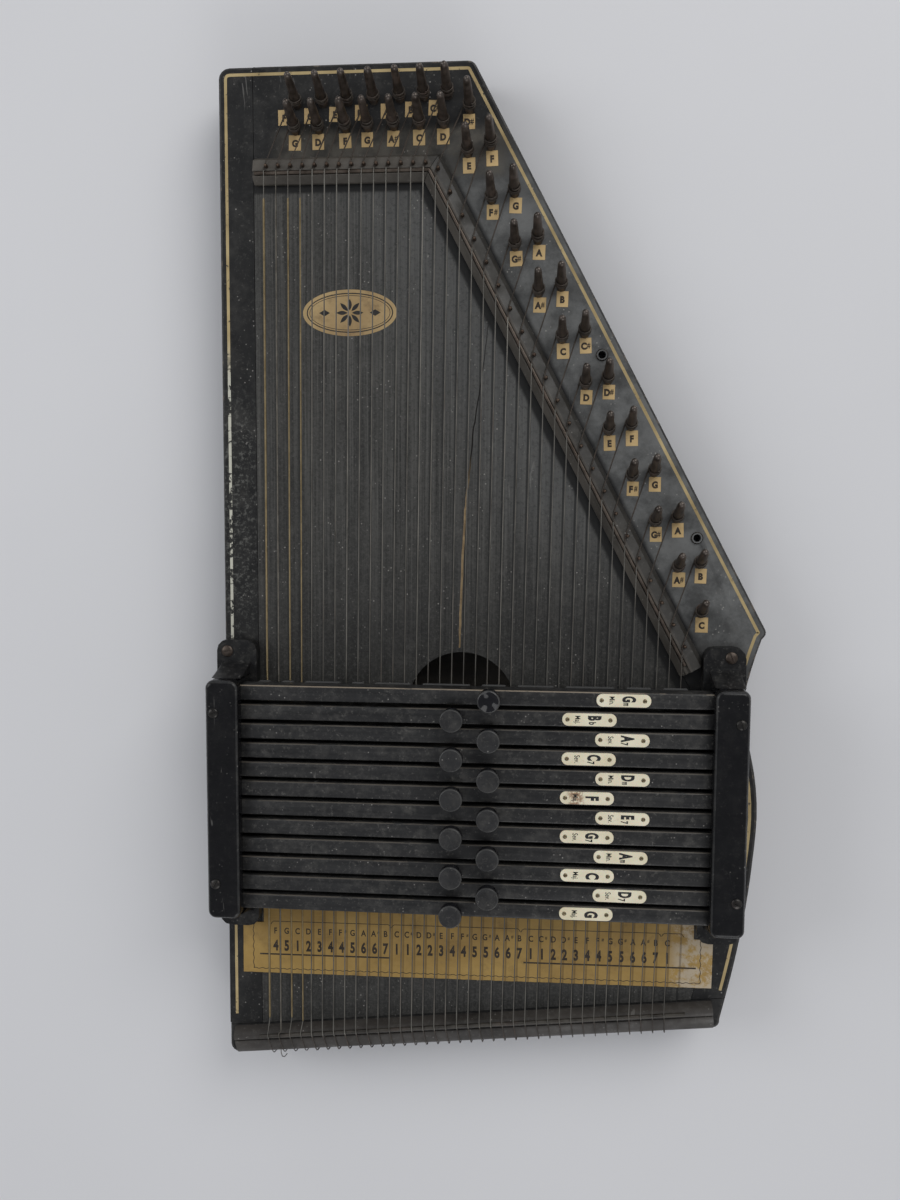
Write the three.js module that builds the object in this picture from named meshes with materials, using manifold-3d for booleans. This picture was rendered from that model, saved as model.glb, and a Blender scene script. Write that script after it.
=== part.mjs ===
// A chorded zither: a flat wooden case strung with 36 strings and carrying twelve damper bars.
// Millimetres, +Z up out of the soundboard, +Y from the tail to the tuning end, +X bass to treble.
// The case is drawn from its own tail corner on the bass side, then moved so that the origin is
// under the middle of the whole, on the surface the rubber feet stand on.
import * as THREE from "three";
import { mergeVertices } from "three/addons/utils/BufferGeometryUtils.js";
import Module from "manifold-3d";

const wasm = await Module();
wasm.setup();

// ---------------------------------------------------------------- driving dimensions
const GAP = 0.3; // clearance left between pieces that touch
const FOOT_HEIGHT = 4;
const BACK_THICKNESS = 2.8;
const DECK = 37; // height of the soundboard's upper face
const BOARD_THICKNESS = 3;
const LEDGE = 8; // width of the step inside the frame that carries the soundboard
const BODY_LENGTH = 556;
const TAIL_SLOPE = 0.1045; // the tail end runs back towards the treble side
const BASS_BAND = 19; // width of the bass rail
const TREBLE_BAND = 18; // width of the curved treble rail
const TAIL_BAND = 17; // depth of the tail block's upper face
const NUT_EDGE_Y = 493.2; // string side of the upper nut strip
const NUT_EDGE_N = 331.5; // distance of the diagonal nut strip's string side, along its normal
const DIAGONAL = [0.8829, 0.4696]; // unit normal of the diagonal end
const DIAGONAL_N = 383.75; // distance of the diagonal end along that normal
const SHOULDER_SPLIT_Y = 212; // where the pin block ends and the treble rail begins

const STRINGS = 36;
const STRING_RADIUS = 0.35;
const STRING_HEIGHT = 9; // above the deck
const STRING_TAIL_X = 26; // first string at the tail
const STRING_PITCH = 6.41;
const STRING_FAN = 0.000477; // spread of the pitch per millimetre away from the tail

const PIN_RADIUS = 2.4;
const PIN_LENGTH = 25;
const PIN_LEAN = 0.33; // radians, away from the strings

const BARS = 12;
const BAR_PITCH = 10.52;
const BAR_TOP_Y = 219.3; // centre of the bar nearest the tuning end
const BAR_WIDTH = 8.4;
const BAR_BOTTOM = 18; // above the deck, like the next three
const BAR_TOP = 30.5;
const FELT_BOTTOM = 12.2;
const BUTTON_HEIGHT = 12.7;
const BUTTON_RADIUS = 6.15;
const BAR_ENDS = [7, 279];
const BUTTON_X = [152, 132.5];

const HOLDER_Y = [80.5, 245];
const COMB_Y = [97.5, 224.5];
const COVER_Y = [95.4, 226.5];
const PAD_HEIGHT = 8;
const COMB_HEIGHT = 29.5;
const COVER_HEIGHT = 38;
const HOLDER_MIRROR = 286; // the treble holder is the bass holder turned about x = 143

const HOLE = { x: 134.6, y: 209.2, radius: 30 };

const NOTES = (
  "F G C D E F F# G A A# B C C# D D# E F F# G G# A A# B " + "C C# D D# E F F# G G# A A# B C"
).split(" ");
// Each bar's open notes, from the tuning end to the tail.
const CHORDS = [
  "G A# D",
  "A# D F",
  "A C# E G",
  "C E G A#",
  "D F A",
  "F A C",
  "E G# B D",
  "G B D F",
  "A C E",
  "C E G",
  "D F# A C",
  "G B D",
].map((s) => s.split(" "));

// ---------------------------------------------------------------- materials
const paint = (color, roughness, metalness = 0) =>
  new THREE.MeshStandardMaterial({ color, roughness, metalness });
const COLORS = {
  lacquer: [0x1d1d1f, 0.45, 0],
  board: [0x3a3b3c, 0.6, 0],
  wood: [0x8a6238, 0.7, 0],
  nut: [0x3f3c39, 0.55, 0],
  rod: [0x6a5b4e, 0.4, 1],
  wire: [0x8d8778, 0.35, 1],
  bar: [0x2a2a2c, 0.4, 0],
  button: [0x17171a, 0.3, 0],
  holder: [0x232325, 0.4, 0],
  cover: [0x1b1b1e, 0.28, 0],
  spring: [0x8f8a80, 0.35, 1],
  screw: [0x6d6257, 0.4, 1],
  rubber: [0x151515, 0.85, 0],
  paper: [0xb58e4f, 0.75, 0],
  pin: [0x3a2a22, 0.45, 1],
  plate: [0x3d3833, 0.45, 1],
};

// ---------------------------------------------------------------- geometry helpers
const solid = (geometry) => {
  const bare = geometry.clone();
  bare.deleteAttribute("normal");
  bare.deleteAttribute("uv");
  const merged = mergeVertices(bare, 1e-4);
  return new wasm.Manifold(
    new wasm.Mesh({
      numProp: 3,
      vertProperties: merged.attributes.position.array,
      triVerts: new Uint32Array(merged.index.array),
    }),
  );
};
const join = (...parts) => parts.flat().reduce((a, b) => a.add(b));
const cut = (body, ...tools) => tools.flat().reduce((a, b) => a.subtract(b), body);
const keep = (...parts) => parts.flat().reduce((a, b) => a.intersect(b));

const shapeOf = (points) => new THREE.Shape(points.map(([x, y]) => new THREE.Vector2(x, y)));
const prism = (points, z0, z1) =>
  solid(
    new THREE.ExtrudeGeometry(shapeOf(points), { depth: z1 - z0, bevelEnabled: false }).translate(
      0,
      0,
      z0,
    ),
  );
const box = (x0, x1, y0, y1, z0, z1) =>
  solid(
    new THREE.BoxGeometry(Math.abs(x1 - x0), y1 - y0, z1 - z0).translate(
      (x0 + x1) / 2,
      (y0 + y1) / 2,
      (z0 + z1) / 2,
    ),
  );
// A solid of revolution about a vertical axis; the profile is a list of [radius, height].
const turned = (profile, x, y, sides = 16) =>
  solid(
    new THREE.LatheGeometry(
      profile.map(([r, z]) => new THREE.Vector2(r, z)),
      sides,
    )
      .rotateX(Math.PI / 2)
      .translate(x, y, 0),
  );
const upright = (radius, z0, z1, x, y, sides = 12) =>
  solid(
    new THREE.CylinderGeometry(radius, radius, z1 - z0, sides)
      .rotateX(Math.PI / 2)
      .translate(x, y, (z0 + z1) / 2),
  );
// A round rod between two points.
const rod = (a, b, radius, sides = 8) => {
  const from = new THREE.Vector3(...a);
  const to = new THREE.Vector3(...b);
  const along = to.clone().sub(from);
  const turn = new THREE.Quaternion().setFromUnitVectors(
    new THREE.Vector3(0, 1, 0),
    along.clone().normalize(),
  );
  return solid(
    new THREE.CylinderGeometry(radius, radius, along.length(), sides)
      .applyQuaternion(turn)
      .translate(...from.add(to).multiplyScalar(0.5).toArray()),
  );
};
// A wire bent at each of its points.
class Bends extends THREE.Curve {
  constructor(points) {
    super();
    this.points = points.map((p) => new THREE.Vector3(...p));
  }
  getPoint(t) {
    const at = t * (this.points.length - 1);
    const i = Math.min(Math.floor(at), this.points.length - 2);
    return this.points[i].clone().lerp(this.points[i + 1], at - i);
  }
  getPointAt(t) {
    return this.getPoint(t);
  }
  getTangentAt(t) {
    const last = this.points.length - 1;
    const i = Math.round(t * last);
    const before = this.points[Math.max(i - 1, 0)];
    const here = this.points[i];
    const after = this.points[Math.min(i + 1, last)];
    const u = here.clone().sub(before).normalize();
    const v = after.clone().sub(here).normalize();
    return u.add(v).normalize();
  }
}
const wire = (points, radius, sides = 4) => {
  const ring = [...Array(sides).keys()].map((k) => {
    const a = (2 * Math.PI * k) / sides;
    return [radius * Math.cos(a), radius * Math.sin(a)];
  });
  return solid(
    new THREE.ExtrudeGeometry(shapeOf(ring), {
      steps: points.length - 1,
      extrudePath: new Bends(points),
    }),
  );
};
// A straight moulding: a profile of [distance away from its front line, height] pulled along it.
const moulding = (profile, start, away, length) => {
  const basis = new THREE.Matrix4().makeBasis(
    new THREE.Vector3(away[0], away[1], 0),
    new THREE.Vector3(0, 0, 1),
    new THREE.Vector3(away[1], -away[0], 0),
  );
  return solid(
    new THREE.ExtrudeGeometry(shapeOf(profile), { depth: length, bevelEnabled: false })
      .applyMatrix4(basis)
      .translate(start[0], start[1], DECK),
  );
};
// Everything to the left of the line through (x, y) that runs in the direction (dx, dy).
const FAR = 900;
const leftOf = (x, y, dx, dy) =>
  prism(
    [
      [x - FAR * dx, y - FAR * dy],
      [x + FAR * dx, y + FAR * dy],
      [x + FAR * (dx - dy), y + FAR * (dy + dx)],
      [x - FAR * (dx + dy), y + FAR * (dx - dy)],
    ],
    -100,
    200,
  );
const rounded = (corner, before, after, radius, steps = 4) => {
  const p = new THREE.Vector2(...corner);
  const a = new THREE.Vector2(...before).sub(p).normalize();
  const b = new THREE.Vector2(...after).sub(p).normalize();
  const half = Math.acos(a.dot(b)) / 2;
  const reach = radius / Math.tan(half);
  const centre = a.clone().add(b).normalize().multiplyScalar(radius / Math.sin(half)).add(p);
  const start = a.multiplyScalar(reach).add(p).sub(centre);
  const end = b.multiplyScalar(reach).add(p).sub(centre);
  let sweep = end.angle() - start.angle();
  if (sweep > Math.PI) sweep -= 2 * Math.PI;
  if (sweep < -Math.PI) sweep += 2 * Math.PI;
  return [...Array(steps + 1).keys()].map((k) => {
    const q = start.clone().rotateAround(new THREE.Vector2(), (sweep * k) / steps).add(centre);
    return [q.x, q.y];
  });
};
// A rectangle with rounded corners.
const padShape = (x0, x1, y0, y1, radius) => {
  const c = [
    [x0, y0],
    [x1, y0],
    [x1, y1],
    [x0, y1],
  ];
  return c.flatMap((p, i) => rounded(p, c[(i + 3) % 4], c[(i + 1) % 4], radius, 3));
};

// ---------------------------------------------------------------- outline of the case
const tailY = (x) => -0.26 + TAIL_SLOPE * x;
const TAIL_LENGTH = Math.hypot(1, TAIL_SLOPE);
const TAIL_ALONG = [1 / TAIL_LENGTH, TAIL_SLOPE / TAIL_LENGTH];
const TAIL_IN = [-TAIL_ALONG[1], TAIL_ALONG[0]];
// The point at a distance in from the tail end, level with x along it.
const fromTail = (x, d) => [x + d * TAIL_IN[0], tailY(x) + d * TAIL_IN[1]];
const diagonalY = (x, n) => (n - DIAGONAL[0] * x) / DIAGONAL[1];

const trebleCurve = new THREE.CatmullRomCurve3(
  [
    [280.9, 33.6],
    [287.4, 63],
    [292.6, 92],
    [296.1, 120.7],
    [298.1, 150],
    [296.4, 172],
    [292.2, 192],
    [289.1, 208],
    [290.1, 221],
    [294, 237],
    [297.7, 248.7],
  ].map(([x, y]) => new THREE.Vector3(x, y, 0)),
  false,
  "catmullrom",
  0.5,
);
const TREBLE_STEPS = 26;
const treble = [...Array(TREBLE_STEPS + 1).keys()].map((k) => {
  const p = trebleCurve.getPointAt(k / TREBLE_STEPS);
  const t = trebleCurve.getTangentAt(k / TREBLE_STEPS);
  return { x: p.x, y: p.y, nx: t.y, ny: -t.x };
});
const topRight = [(DIAGONAL_N - DIAGONAL[1] * BODY_LENGTH) / DIAGONAL[0], BODY_LENGTH];
const tailRight = [280.3, tailY(280.3)];
const outline = [
  ...rounded([0, tailY(0)], [0, 100], tailRight, 5),
  ...rounded(tailRight, [0, tailY(0)], [treble[2].x, treble[2].y], 4, 3),
  ...treble.map((p) => [p.x, p.y]),
  ...rounded([300.6, diagonalY(300.6, DIAGONAL_N)], [297.7, 248.7], topRight, 3.4, 3),
  ...rounded(topRight, [299, 255], [0, BODY_LENGTH], 5),
  ...rounded([0, BODY_LENGTH], [100, BODY_LENGTH], [0, 100], 6),
];
// The side of the curve towards the middle of the case, at a distance in from it.
const insideTreble = (inset) =>
  prism(
    [
      [-60, -80],
      [treble[0].x - inset * treble[0].nx - 8, -80],
      ...treble.map((p) => [p.x - inset * p.nx, p.y - inset * p.ny]),
      [treble[TREBLE_STEPS].x - inset + 6, 640],
      [-60, 640],
    ],
    -100,
    200,
  );
// The space inside the frame, drawn in from the visible edge of the soundboard.
const cavity = (inset, z0, z1) => {
  const [tx, ty] = fromTail(0, TAIL_BAND + inset);
  const nut = NUT_EDGE_N + 2 - inset;
  return keep(
    box(BASS_BAND + inset, 400, -50, NUT_EDGE_Y + 2 - inset, z0, z1),
    insideTreble(TREBLE_BAND + inset),
    leftOf(tx, ty, ...TAIL_ALONG),
    leftOf(0, diagonalY(0, nut), -DIAGONAL[1], DIAGONAL[0]),
  );
};

// ---------------------------------------------------------------- case
const RAIL_BOTTOM = FOOT_HEIGHT + BACK_THICKNESS + GAP;
const LEDGE_TOP = DECK - BOARD_THICKNESS - GAP;
const frame = cut(
  prism(outline, RAIL_BOTTOM, DECK),
  cavity(LEDGE, 0, LEDGE_TOP + 1),
  cavity(0, LEDGE_TOP, 60),
);
const aboveTail = (d) => leftOf(...fromTail(0, d), ...TAIL_ALONG);
const belowTail = (d) => leftOf(...fromTail(0, d), -TAIL_ALONG[0], -TAIL_ALONG[1]);
const beyondNut = (n) => leftOf(0, diagonalY(0, n), DIAGONAL[1], -DIAGONAL[0]);
const NUT_BACK_N = NUT_EDGE_N + 2 - LEDGE;
const NUT_BACK_Y = NUT_EDGE_Y + 2 - LEDGE;
const everything = [-50, 400, -50, 640, 0, 60];

const holderScrews = [
  { x: 3.4, y: 238.6 },
  { x: 3.4, y: 87.5 },
  { x: 280.6, y: 239.6 },
  { x: 280.6, y: 87.5 },
];
const screwHoles = holderScrews.map((s) => upright(1.8, DECK - 10, DECK + 1, s.x, s.y, 8));

const bassRail = cut(
  keep(
    frame,
    join(
      box(-50, BASS_BAND, -50, 640, 0, 60),
      box(BASS_BAND - 1, BASS_BAND + LEDGE, -50, NUT_BACK_Y - GAP, 0, 60),
    ),
    aboveTail(TAIL_BAND + GAP),
  ),
  screwHoles.slice(0, 2),
);
const tailBlock = keep(
  frame,
  join(
    keep(box(...everything), belowTail(TAIL_BAND)),
    keep(box(BASS_BAND + LEDGE + GAP, 258, -50, 100, 0, 60), belowTail(TAIL_BAND + LEDGE + 1)),
  ),
);
const trebleRail = cut(
  keep(frame, box(258 + GAP, 400, -50, SHOULDER_SPLIT_Y, 0, 60), aboveTail(TAIL_BAND + GAP)),
  screwHoles[3],
);

const pinSpots = [];
const backRow = [43.4, 57.7, 71.3, 85.5, 99.5, 112.5, 125.3];
const frontRow = [42.6, 55.4, 70.2, 82.2, 96.3, 110.3, 123.3];
backRow.forEach((x, i) => pinSpots.push([x, 535.4 + 0.5 * i], [frontRow[i], 522 + 0.25 * i]));
pinSpots.push([137.1, 530.8]);
for (let i = 0; i < 11; i++) {
  pinSpots.push([136.2 + 12.84 * i, 508.1 - 24.52 * i]);
  if (i < 10) pinSpots.push([148.5 + 12.77 * i, 511.5 - 24.66 * i]);
}
// The pins of each end are one body, joined by a thin strip that runs from pin to pin on the block.
const LINK = { width: 3, height: 0.6 };
const leanY = Math.sin(PIN_LEAN);
const leanZ = Math.cos(PIN_LEAN);
const pinRow = (spots) => {
  const pins = spots.map(([x, y]) =>
    rod(
      [x, y - 2 * leanY, DECK - 2 * leanZ],
      [x, y + PIN_LENGTH * leanY, DECK + PIN_LENGTH * leanZ],
      PIN_RADIUS,
      6,
    ),
  );
  const links = spots.slice(1).map(([x, y], i) => {
    const [fromX, fromY] = spots[i];
    const reach = Math.hypot(x - fromX, y - fromY);
    const [sx, sy] = [((fromY - y) / reach) * (LINK.width / 2), ((x - fromX) / reach) * (LINK.width / 2)];
    return prism(
      [
        [fromX - sx, fromY - sy],
        [x - sx, y - sy],
        [x + sx, y + sy],
        [fromX + sx, fromY + sy],
      ],
      DECK + GAP,
      DECK + GAP + LINK.height,
    );
  });
  return keep(join(pins, links), box(...everything.slice(0, 4), DECK + GAP, 100));
};
const PINS_ON_TOP = 14;
const spareHoles = [
  { x: 209.1, y: 401.4 },
  { x: 261.7, y: 303.6 },
];
const eyelet = ({ x, y }) =>
  turned(
    [
      [0, DECK - 1],
      [3.3, DECK - 1],
      [3.3, DECK + 0.5],
      [2.8, DECK + 1],
      [0, DECK + 1],
    ],
    x,
    y,
    12,
  );
const pinBlock = cut(
  join(
    keep(
      frame,
      join(
        box(BASS_BAND + GAP, 400, NUT_BACK_Y, 640, 0, 60),
        keep(beyondNut(NUT_BACK_N), box(60, 400, SHOULDER_SPLIT_Y + GAP, 640, 0, 60)),
      ),
    ),
    spareHoles.map(eyelet),
  ),
  spareHoles.map((s) => upright(2.1, DECK - 14, DECK + 2, s.x, s.y, 12)),
  screwHoles[2],
);
const backPanel = prism(outline, FOOT_HEIGHT, FOOT_HEIGHT + BACK_THICKNESS);
const soundboard = cut(
  keep(cavity(GAP, DECK - BOARD_THICKNESS, DECK)),
  upright(HOLE.radius, 0, 60, HOLE.x, HOLE.y, 36),
);
const braceReach = diagonalY(0, NUT_BACK_N - GAP);
const braceUpper = keep(
  box(BASS_BAND + LEDGE + GAP, 300, 295, 305, 20, LEDGE_TOP),
  leftOf(0, braceReach, -DIAGONAL[1], DIAGONAL[0]),
);
const braceLower = keep(
  box(BASS_BAND + LEDGE + GAP, 300, 106, 116, 20, LEDGE_TOP),
  insideTreble(TREBLE_BAND + LEDGE + GAP),
);

// ---------------------------------------------------------------- nut, tail bridge and strings
const NUT_PROFILE = [
  [0, GAP],
  [14.5, GAP],
  [12.2, 5.2],
  [7, 6.9],
  [3.3, 6.9],
  [0, 2.6],
];
const NUT_ROD = { away: 4.8, height: 7, radius: 1 };
const nutKnee = [(NUT_EDGE_N - DIAGONAL[1] * NUT_EDGE_Y) / DIAGONAL[0], NUT_EDGE_Y];
const mitre = [DIAGONAL[0], 1 + DIAGONAL[1]];
const mitreLength = Math.hypot(...mitre);
const [mx, my] = mitre.map((v) => v / mitreLength);
const alongNut = [DIAGONAL[1], -DIAGONAL[0]];
const NUT_END = 300; // length of the diagonal strip beyond the knee
const rodKnee = [nutKnee[0] + (NUT_ROD.away / my) * mx, NUT_EDGE_Y + NUT_ROD.away];
const rodZ = DECK + NUT_ROD.height;
const rodEnds = [
  [21.5, rodKnee[1], rodZ],
  [rodKnee[0], rodKnee[1], rodZ],
  [rodKnee[0] + (NUT_END - 2) * alongNut[0], rodKnee[1] + (NUT_END - 2) * alongNut[1], rodZ],
];
const nutGroove = wire(
  [
    [-40, rodEnds[0][1], rodZ],
    rodEnds[1],
    [rodKnee[0] + 400 * alongNut[0], rodKnee[1] + 400 * alongNut[1], rodZ],
  ],
  NUT_ROD.radius + GAP + 0.1,
  10,
);
const nutStripTop = cut(
  keep(
    moulding(NUT_PROFILE, [20.2, NUT_EDGE_Y], [0, 1], 140),
    leftOf(nutKnee[0] - GAP / 2, nutKnee[1], mx, my),
  ),
  nutGroove,
);
const nutStripDiagonal = cut(
  keep(
    moulding(NUT_PROFILE, [nutKnee[0] - 20 * alongNut[0], nutKnee[1] - 20 * alongNut[1]], DIAGONAL, 20 + NUT_END),
    leftOf(nutKnee[0] + GAP / 2, nutKnee[1], -mx, -my),
  ),
  nutGroove,
  box(265.6, 300, 200, HOLDER_Y[1] + 1, DECK - 5, DECK + 20),
);
const nutRod = wire(rodEnds, NUT_ROD.radius, 10);

const TAIL_ROD = { away: 12.7, height: 7.9, radius: 1.1 };
const TAIL_PROFILE = [
  [0.6, GAP],
  [16.3, GAP],
  [15.6, 2.6],
  [14.6, 5.2],
  [10.6, 6.2],
  [4.2, 3.9],
  [1.4, 2],
  [0.6, 1],
];
const TAIL_ENDS = [5, 277.5];
const tailBridge = cut(
  moulding(
    TAIL_PROFILE,
    fromTail(TAIL_ENDS[0], 0),
    TAIL_IN,
    (TAIL_ENDS[1] - TAIL_ENDS[0]) * TAIL_LENGTH,
  ),
  rod(
    [...fromTail(-30, TAIL_ROD.away), DECK + TAIL_ROD.height],
    [...fromTail(320, TAIL_ROD.away), DECK + TAIL_ROD.height],
    TAIL_ROD.radius + GAP + 0.1,
    10,
  ),
);
const HITCH_HEIGHT = -10; // hitch pins, measured from the deck
const hitchPlate = join(
  moulding(
    [
      [-2.3, HITCH_HEIGHT - 6],
      [-GAP, HITCH_HEIGHT - 6],
      [-GAP, HITCH_HEIGHT + 6],
      [-2.3, HITCH_HEIGHT + 6],
    ],
    fromTail(12, 0),
    TAIL_IN,
    (270 - 12) * TAIL_LENGTH,
  ),
  [...Array(STRINGS).keys()].map((i) => {
    const x = STRING_TAIL_X + STRING_PITCH * i;
    return rod(
      [...fromTail(x, -1.8), DECK + HITCH_HEIGHT],
      [...fromTail(x, -5.2), DECK + HITCH_HEIGHT],
      0.9,
      5,
    );
  }),
);

const stringX = (i, y) => {
  const tail = STRING_TAIL_X + STRING_PITCH * i;
  return tail + (y - tailY(tail)) * (0.0016 + STRING_FAN * i);
};
const nutPoint = (i) => {
  let y = rodKnee[1];
  for (let k = 0; k < 8; k++) {
    const x = stringX(i, y);
    y = Math.min(rodKnee[1], diagonalY(x, NUT_EDGE_N + NUT_ROD.away));
  }
  return [stringX(i, y), y];
};
const stringZ = DECK + STRING_HEIGHT;
const strings = NOTES.map((note, i) => {
  const tail = STRING_TAIL_X + STRING_PITCH * i;
  const nut = new THREE.Vector2(...nutPoint(i));
  const pin = new THREE.Vector2(...pinSpots[i]).add(new THREE.Vector2(0, 1.6));
  const reach = pin.clone().sub(nut);
  const end = nut.clone().addScaledVector(reach, 1 - (PIN_RADIUS + 0.9) / reach.length());
  return wire(
    [
      [...fromTail(tail, -3.45), DECK + HITCH_HEIGHT + 1.7],
      [...fromTail(tail, -1.9), DECK + 2.6],
      [...fromTail(tail, TAIL_ROD.away), stringZ],
      [nut.x, nut.y, stringZ],
      [end.x, end.y, DECK + 3.4],
    ],
    STRING_RADIUS,
    4,
  );
});
const stringBand = join(
  rod(
    [...fromTail(21, TAIL_ROD.away), DECK + TAIL_ROD.height],
    [...fromTail(262, TAIL_ROD.away), DECK + TAIL_ROD.height],
    TAIL_ROD.radius,
    6,
  ),
  strings,
);

// ---------------------------------------------------------------- chord bars and their holders
const barY = (i) => BAR_TOP_Y - BAR_PITCH * i;
const chordBar = (i) => {
  const y = barY(i);
  const z = (h) => DECK + h;
  const bottom = [[BAR_ENDS[0], z(BAR_BOTTOM)]];
  let padded = false;
  for (let s = 0; s <= STRINGS; s++) {
    const muted = s < STRINGS && !CHORDS[i].includes(NOTES[s]);
    if (muted !== padded) {
      const edge = muted
        ? stringX(s, y) - STRING_PITCH / 2
        : stringX(s - 1, y) + STRING_PITCH / 2;
      const levels = muted ? [BAR_BOTTOM, FELT_BOTTOM] : [FELT_BOTTOM, BAR_BOTTOM];
      levels.forEach((h) => bottom.push([edge, z(h)]));
    }
    padded = muted;
  }
  const silhouette = [
    ...bottom,
    [BAR_ENDS[1], z(BAR_BOTTOM)],
    [BAR_ENDS[1], z(BAR_TOP)],
    [BAR_ENDS[0], z(BAR_TOP)],
  ];
  return solid(
    new THREE.ExtrudeGeometry(shapeOf(silhouette), { depth: BAR_WIDTH, bevelEnabled: false })
      .rotateX(Math.PI / 2)
      .translate(0, y + BAR_WIDTH / 2, 0),
  );
};
const chordButton = (i) => {
  const z0 = DECK + BAR_TOP + GAP;
  const top = z0 + BUTTON_HEIGHT;
  const profile = [
    [0, z0],
    [3.6, z0],
    [3.6, z0 + 5.2],
    [BUTTON_RADIUS, z0 + 6.6],
    [BUTTON_RADIUS, top - 1.1],
    [BUTTON_RADIUS - 1.1, top],
    [0, top - 0.5],
  ];
  return turned(profile, BUTTON_X[i % 2], barY(i), 14);
};

const sideX = (isTreble) => (x) => (isTreble ? HOLDER_MIRROR - x : x);
const slotBox = (side, i, x0, x1, z0, z1, width) =>
  box(side(x0), side(x1), barY(i) - width / 2, barY(i) + width / 2, DECK + z0, DECK + z1);
const rows = [...Array(BARS).keys()];
const coverScrews = [
  { x: 4.2, y: 209.1, treble: false },
  { x: 4.2, y: 114.9, treble: false },
  { x: 4.2, y: 209.1, treble: true },
  { x: 4.2, y: 114.9, treble: true },
];
// Foot pads at both ends, with a comb between them whose slots guide the ends of the bars.
const holder = (isTreble) => {
  const side = sideX(isTreble);
  const [x0, x1] = [side(-2.5), side(20)].sort((a, b) => a - b);
  const slope = (y, dy) => [
    [y, DECK + PAD_HEIGHT - 1],
    [y + dy, DECK + PAD_HEIGHT - 1],
    [y + dy, DECK + 17],
  ];
  const ramp = (points) =>
    solid(
      new THREE.ExtrudeGeometry(shapeOf(points), { depth: 13, bevelEnabled: false })
        .applyMatrix4(
          new THREE.Matrix4().makeBasis(
            new THREE.Vector3(0, 1, 0),
            new THREE.Vector3(0, 0, 1),
            new THREE.Vector3(1, 0, 0),
          ),
        )
        .translate(Math.min(side(2), side(15)), 0, 0),
    );
  const body = join(
    prism(padShape(x0, x1, ...HOLDER_Y, 6), DECK + GAP, DECK + PAD_HEIGHT),
    box(side(2), side(15), ...COMB_Y, DECK + 1, DECK + COMB_HEIGHT),
    ramp(slope(COVER_Y[0] - 6, COMB_Y[0] - COVER_Y[0] + 6.1)),
    ramp(slope(COVER_Y[1] + 6, COMB_Y[1] - COVER_Y[1] - 6.1)),
  );
  const slots = rows.map((i) => slotBox(side, i, 6.5, 30, PAD_HEIGHT, COMB_HEIGHT + 5, 8.9));
  const channel = box(
    side(7.4),
    side(13.6),
    COMB_Y[0] + 1,
    COMB_Y[1] - 1,
    DECK + PAD_HEIGHT - 1,
    DECK + PAD_HEIGHT + 0.8,
  );
  const bores = [
    ...holderScrews
      .filter((s) => s.x > 100 === isTreble)
      .map((s) => upright(1.8, DECK - 1, DECK + 20, s.x, s.y, 8)),
    ...coverScrews
      .filter((s) => s.treble === isTreble)
      .map((s) => upright(1.4, DECK + 22, DECK + 40, side(s.x), s.y, 8)),
  ];
  return cut(body, slots, channel, bores);
};
// A moulded lid over the comb, open below, its inner lip just clear of the bars.
const cover = (isTreble) => {
  const side = sideX(isTreble);
  const [y0, y1] = COVER_Y;
  const z = (h) => DECK + h;
  const lengthwise = solid(
    new THREE.ExtrudeGeometry(
      shapeOf([
        [y0, z(18)],
        [y1, z(18)],
        [y1, z(33.5)],
        [y1 - 2, z(36.6)],
        [y1 - 5, z(COVER_HEIGHT)],
        [y0 + 5, z(COVER_HEIGHT)],
        [y0 + 2, z(36.6)],
        [y0, z(33.5)],
      ]),
      { depth: 18, bevelEnabled: false },
    )
      .applyMatrix4(
        new THREE.Matrix4().makeBasis(
          new THREE.Vector3(0, 1, 0),
          new THREE.Vector3(0, 0, 1),
          new THREE.Vector3(1, 0, 0),
        ),
      )
      .translate(Math.min(side(-0.5), side(17.5)), 0, 0),
  );
  const across = solid(
    new THREE.ExtrudeGeometry(
      shapeOf([
        [side(-0.5), z(10)],
        [side(17.5), z(10)],
        [side(17.5), z(36.2)],
        [side(16.3), z(37.5)],
        [side(14.6), z(40)],
        [side(2.4), z(40)],
        [side(0.6), z(37.5)],
        [side(-0.5), z(36)],
      ]),
      { depth: 200, bevelEnabled: false },
    )
      .rotateX(Math.PI / 2)
      .translate(0, 240, 0),
  );
  return cut(
    keep(lengthwise, across),
    box(side(1.5), side(15.5), y0 + 1.6, y1 - 1.6, z(5), z(36)),
    box(side(8), side(30), y0 + 1.6, y1 - 1.6, z(5), z(31.2)),
    coverScrews
      .filter((s) => s.treble === isTreble)
      .map((s) => upright(1.4, z(30), z(45), side(s.x), s.y, 8)),
  );
};
const springRow = (isTreble) => {
  const side = sideX(isTreble);
  return join(
    box(
      side(7.8),
      side(13.2),
      COMB_Y[0] + 1.4,
      COMB_Y[1] - 1.4,
      DECK + PAD_HEIGHT - 0.7,
      DECK + PAD_HEIGHT + 0.4,
    ),
    rows.map((i) =>
      upright(2.6, DECK + PAD_HEIGHT, DECK + BAR_BOTTOM - GAP, side(10.5), barY(i), 6),
    ),
  );
};
// A slotted, dome-headed screw seated at a height.
const screw = (x, y, seat, head, shank, length, turn) => {
  const body = turned(
    [
      [0, seat - length],
      [shank, seat - length + 1],
      [shank, seat],
      [head, seat],
      [head * 0.92, seat + 0.7],
      [head * 0.6, seat + 1.4],
      [0, seat + 1.6],
    ],
    x,
    y,
    10,
  );
  const slot = solid(
    new THREE.BoxGeometry(3 * head, 0.8, 1.6).rotateZ(turn).translate(x, y, seat + 1.6),
  );
  return cut(body, slot);
};

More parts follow.
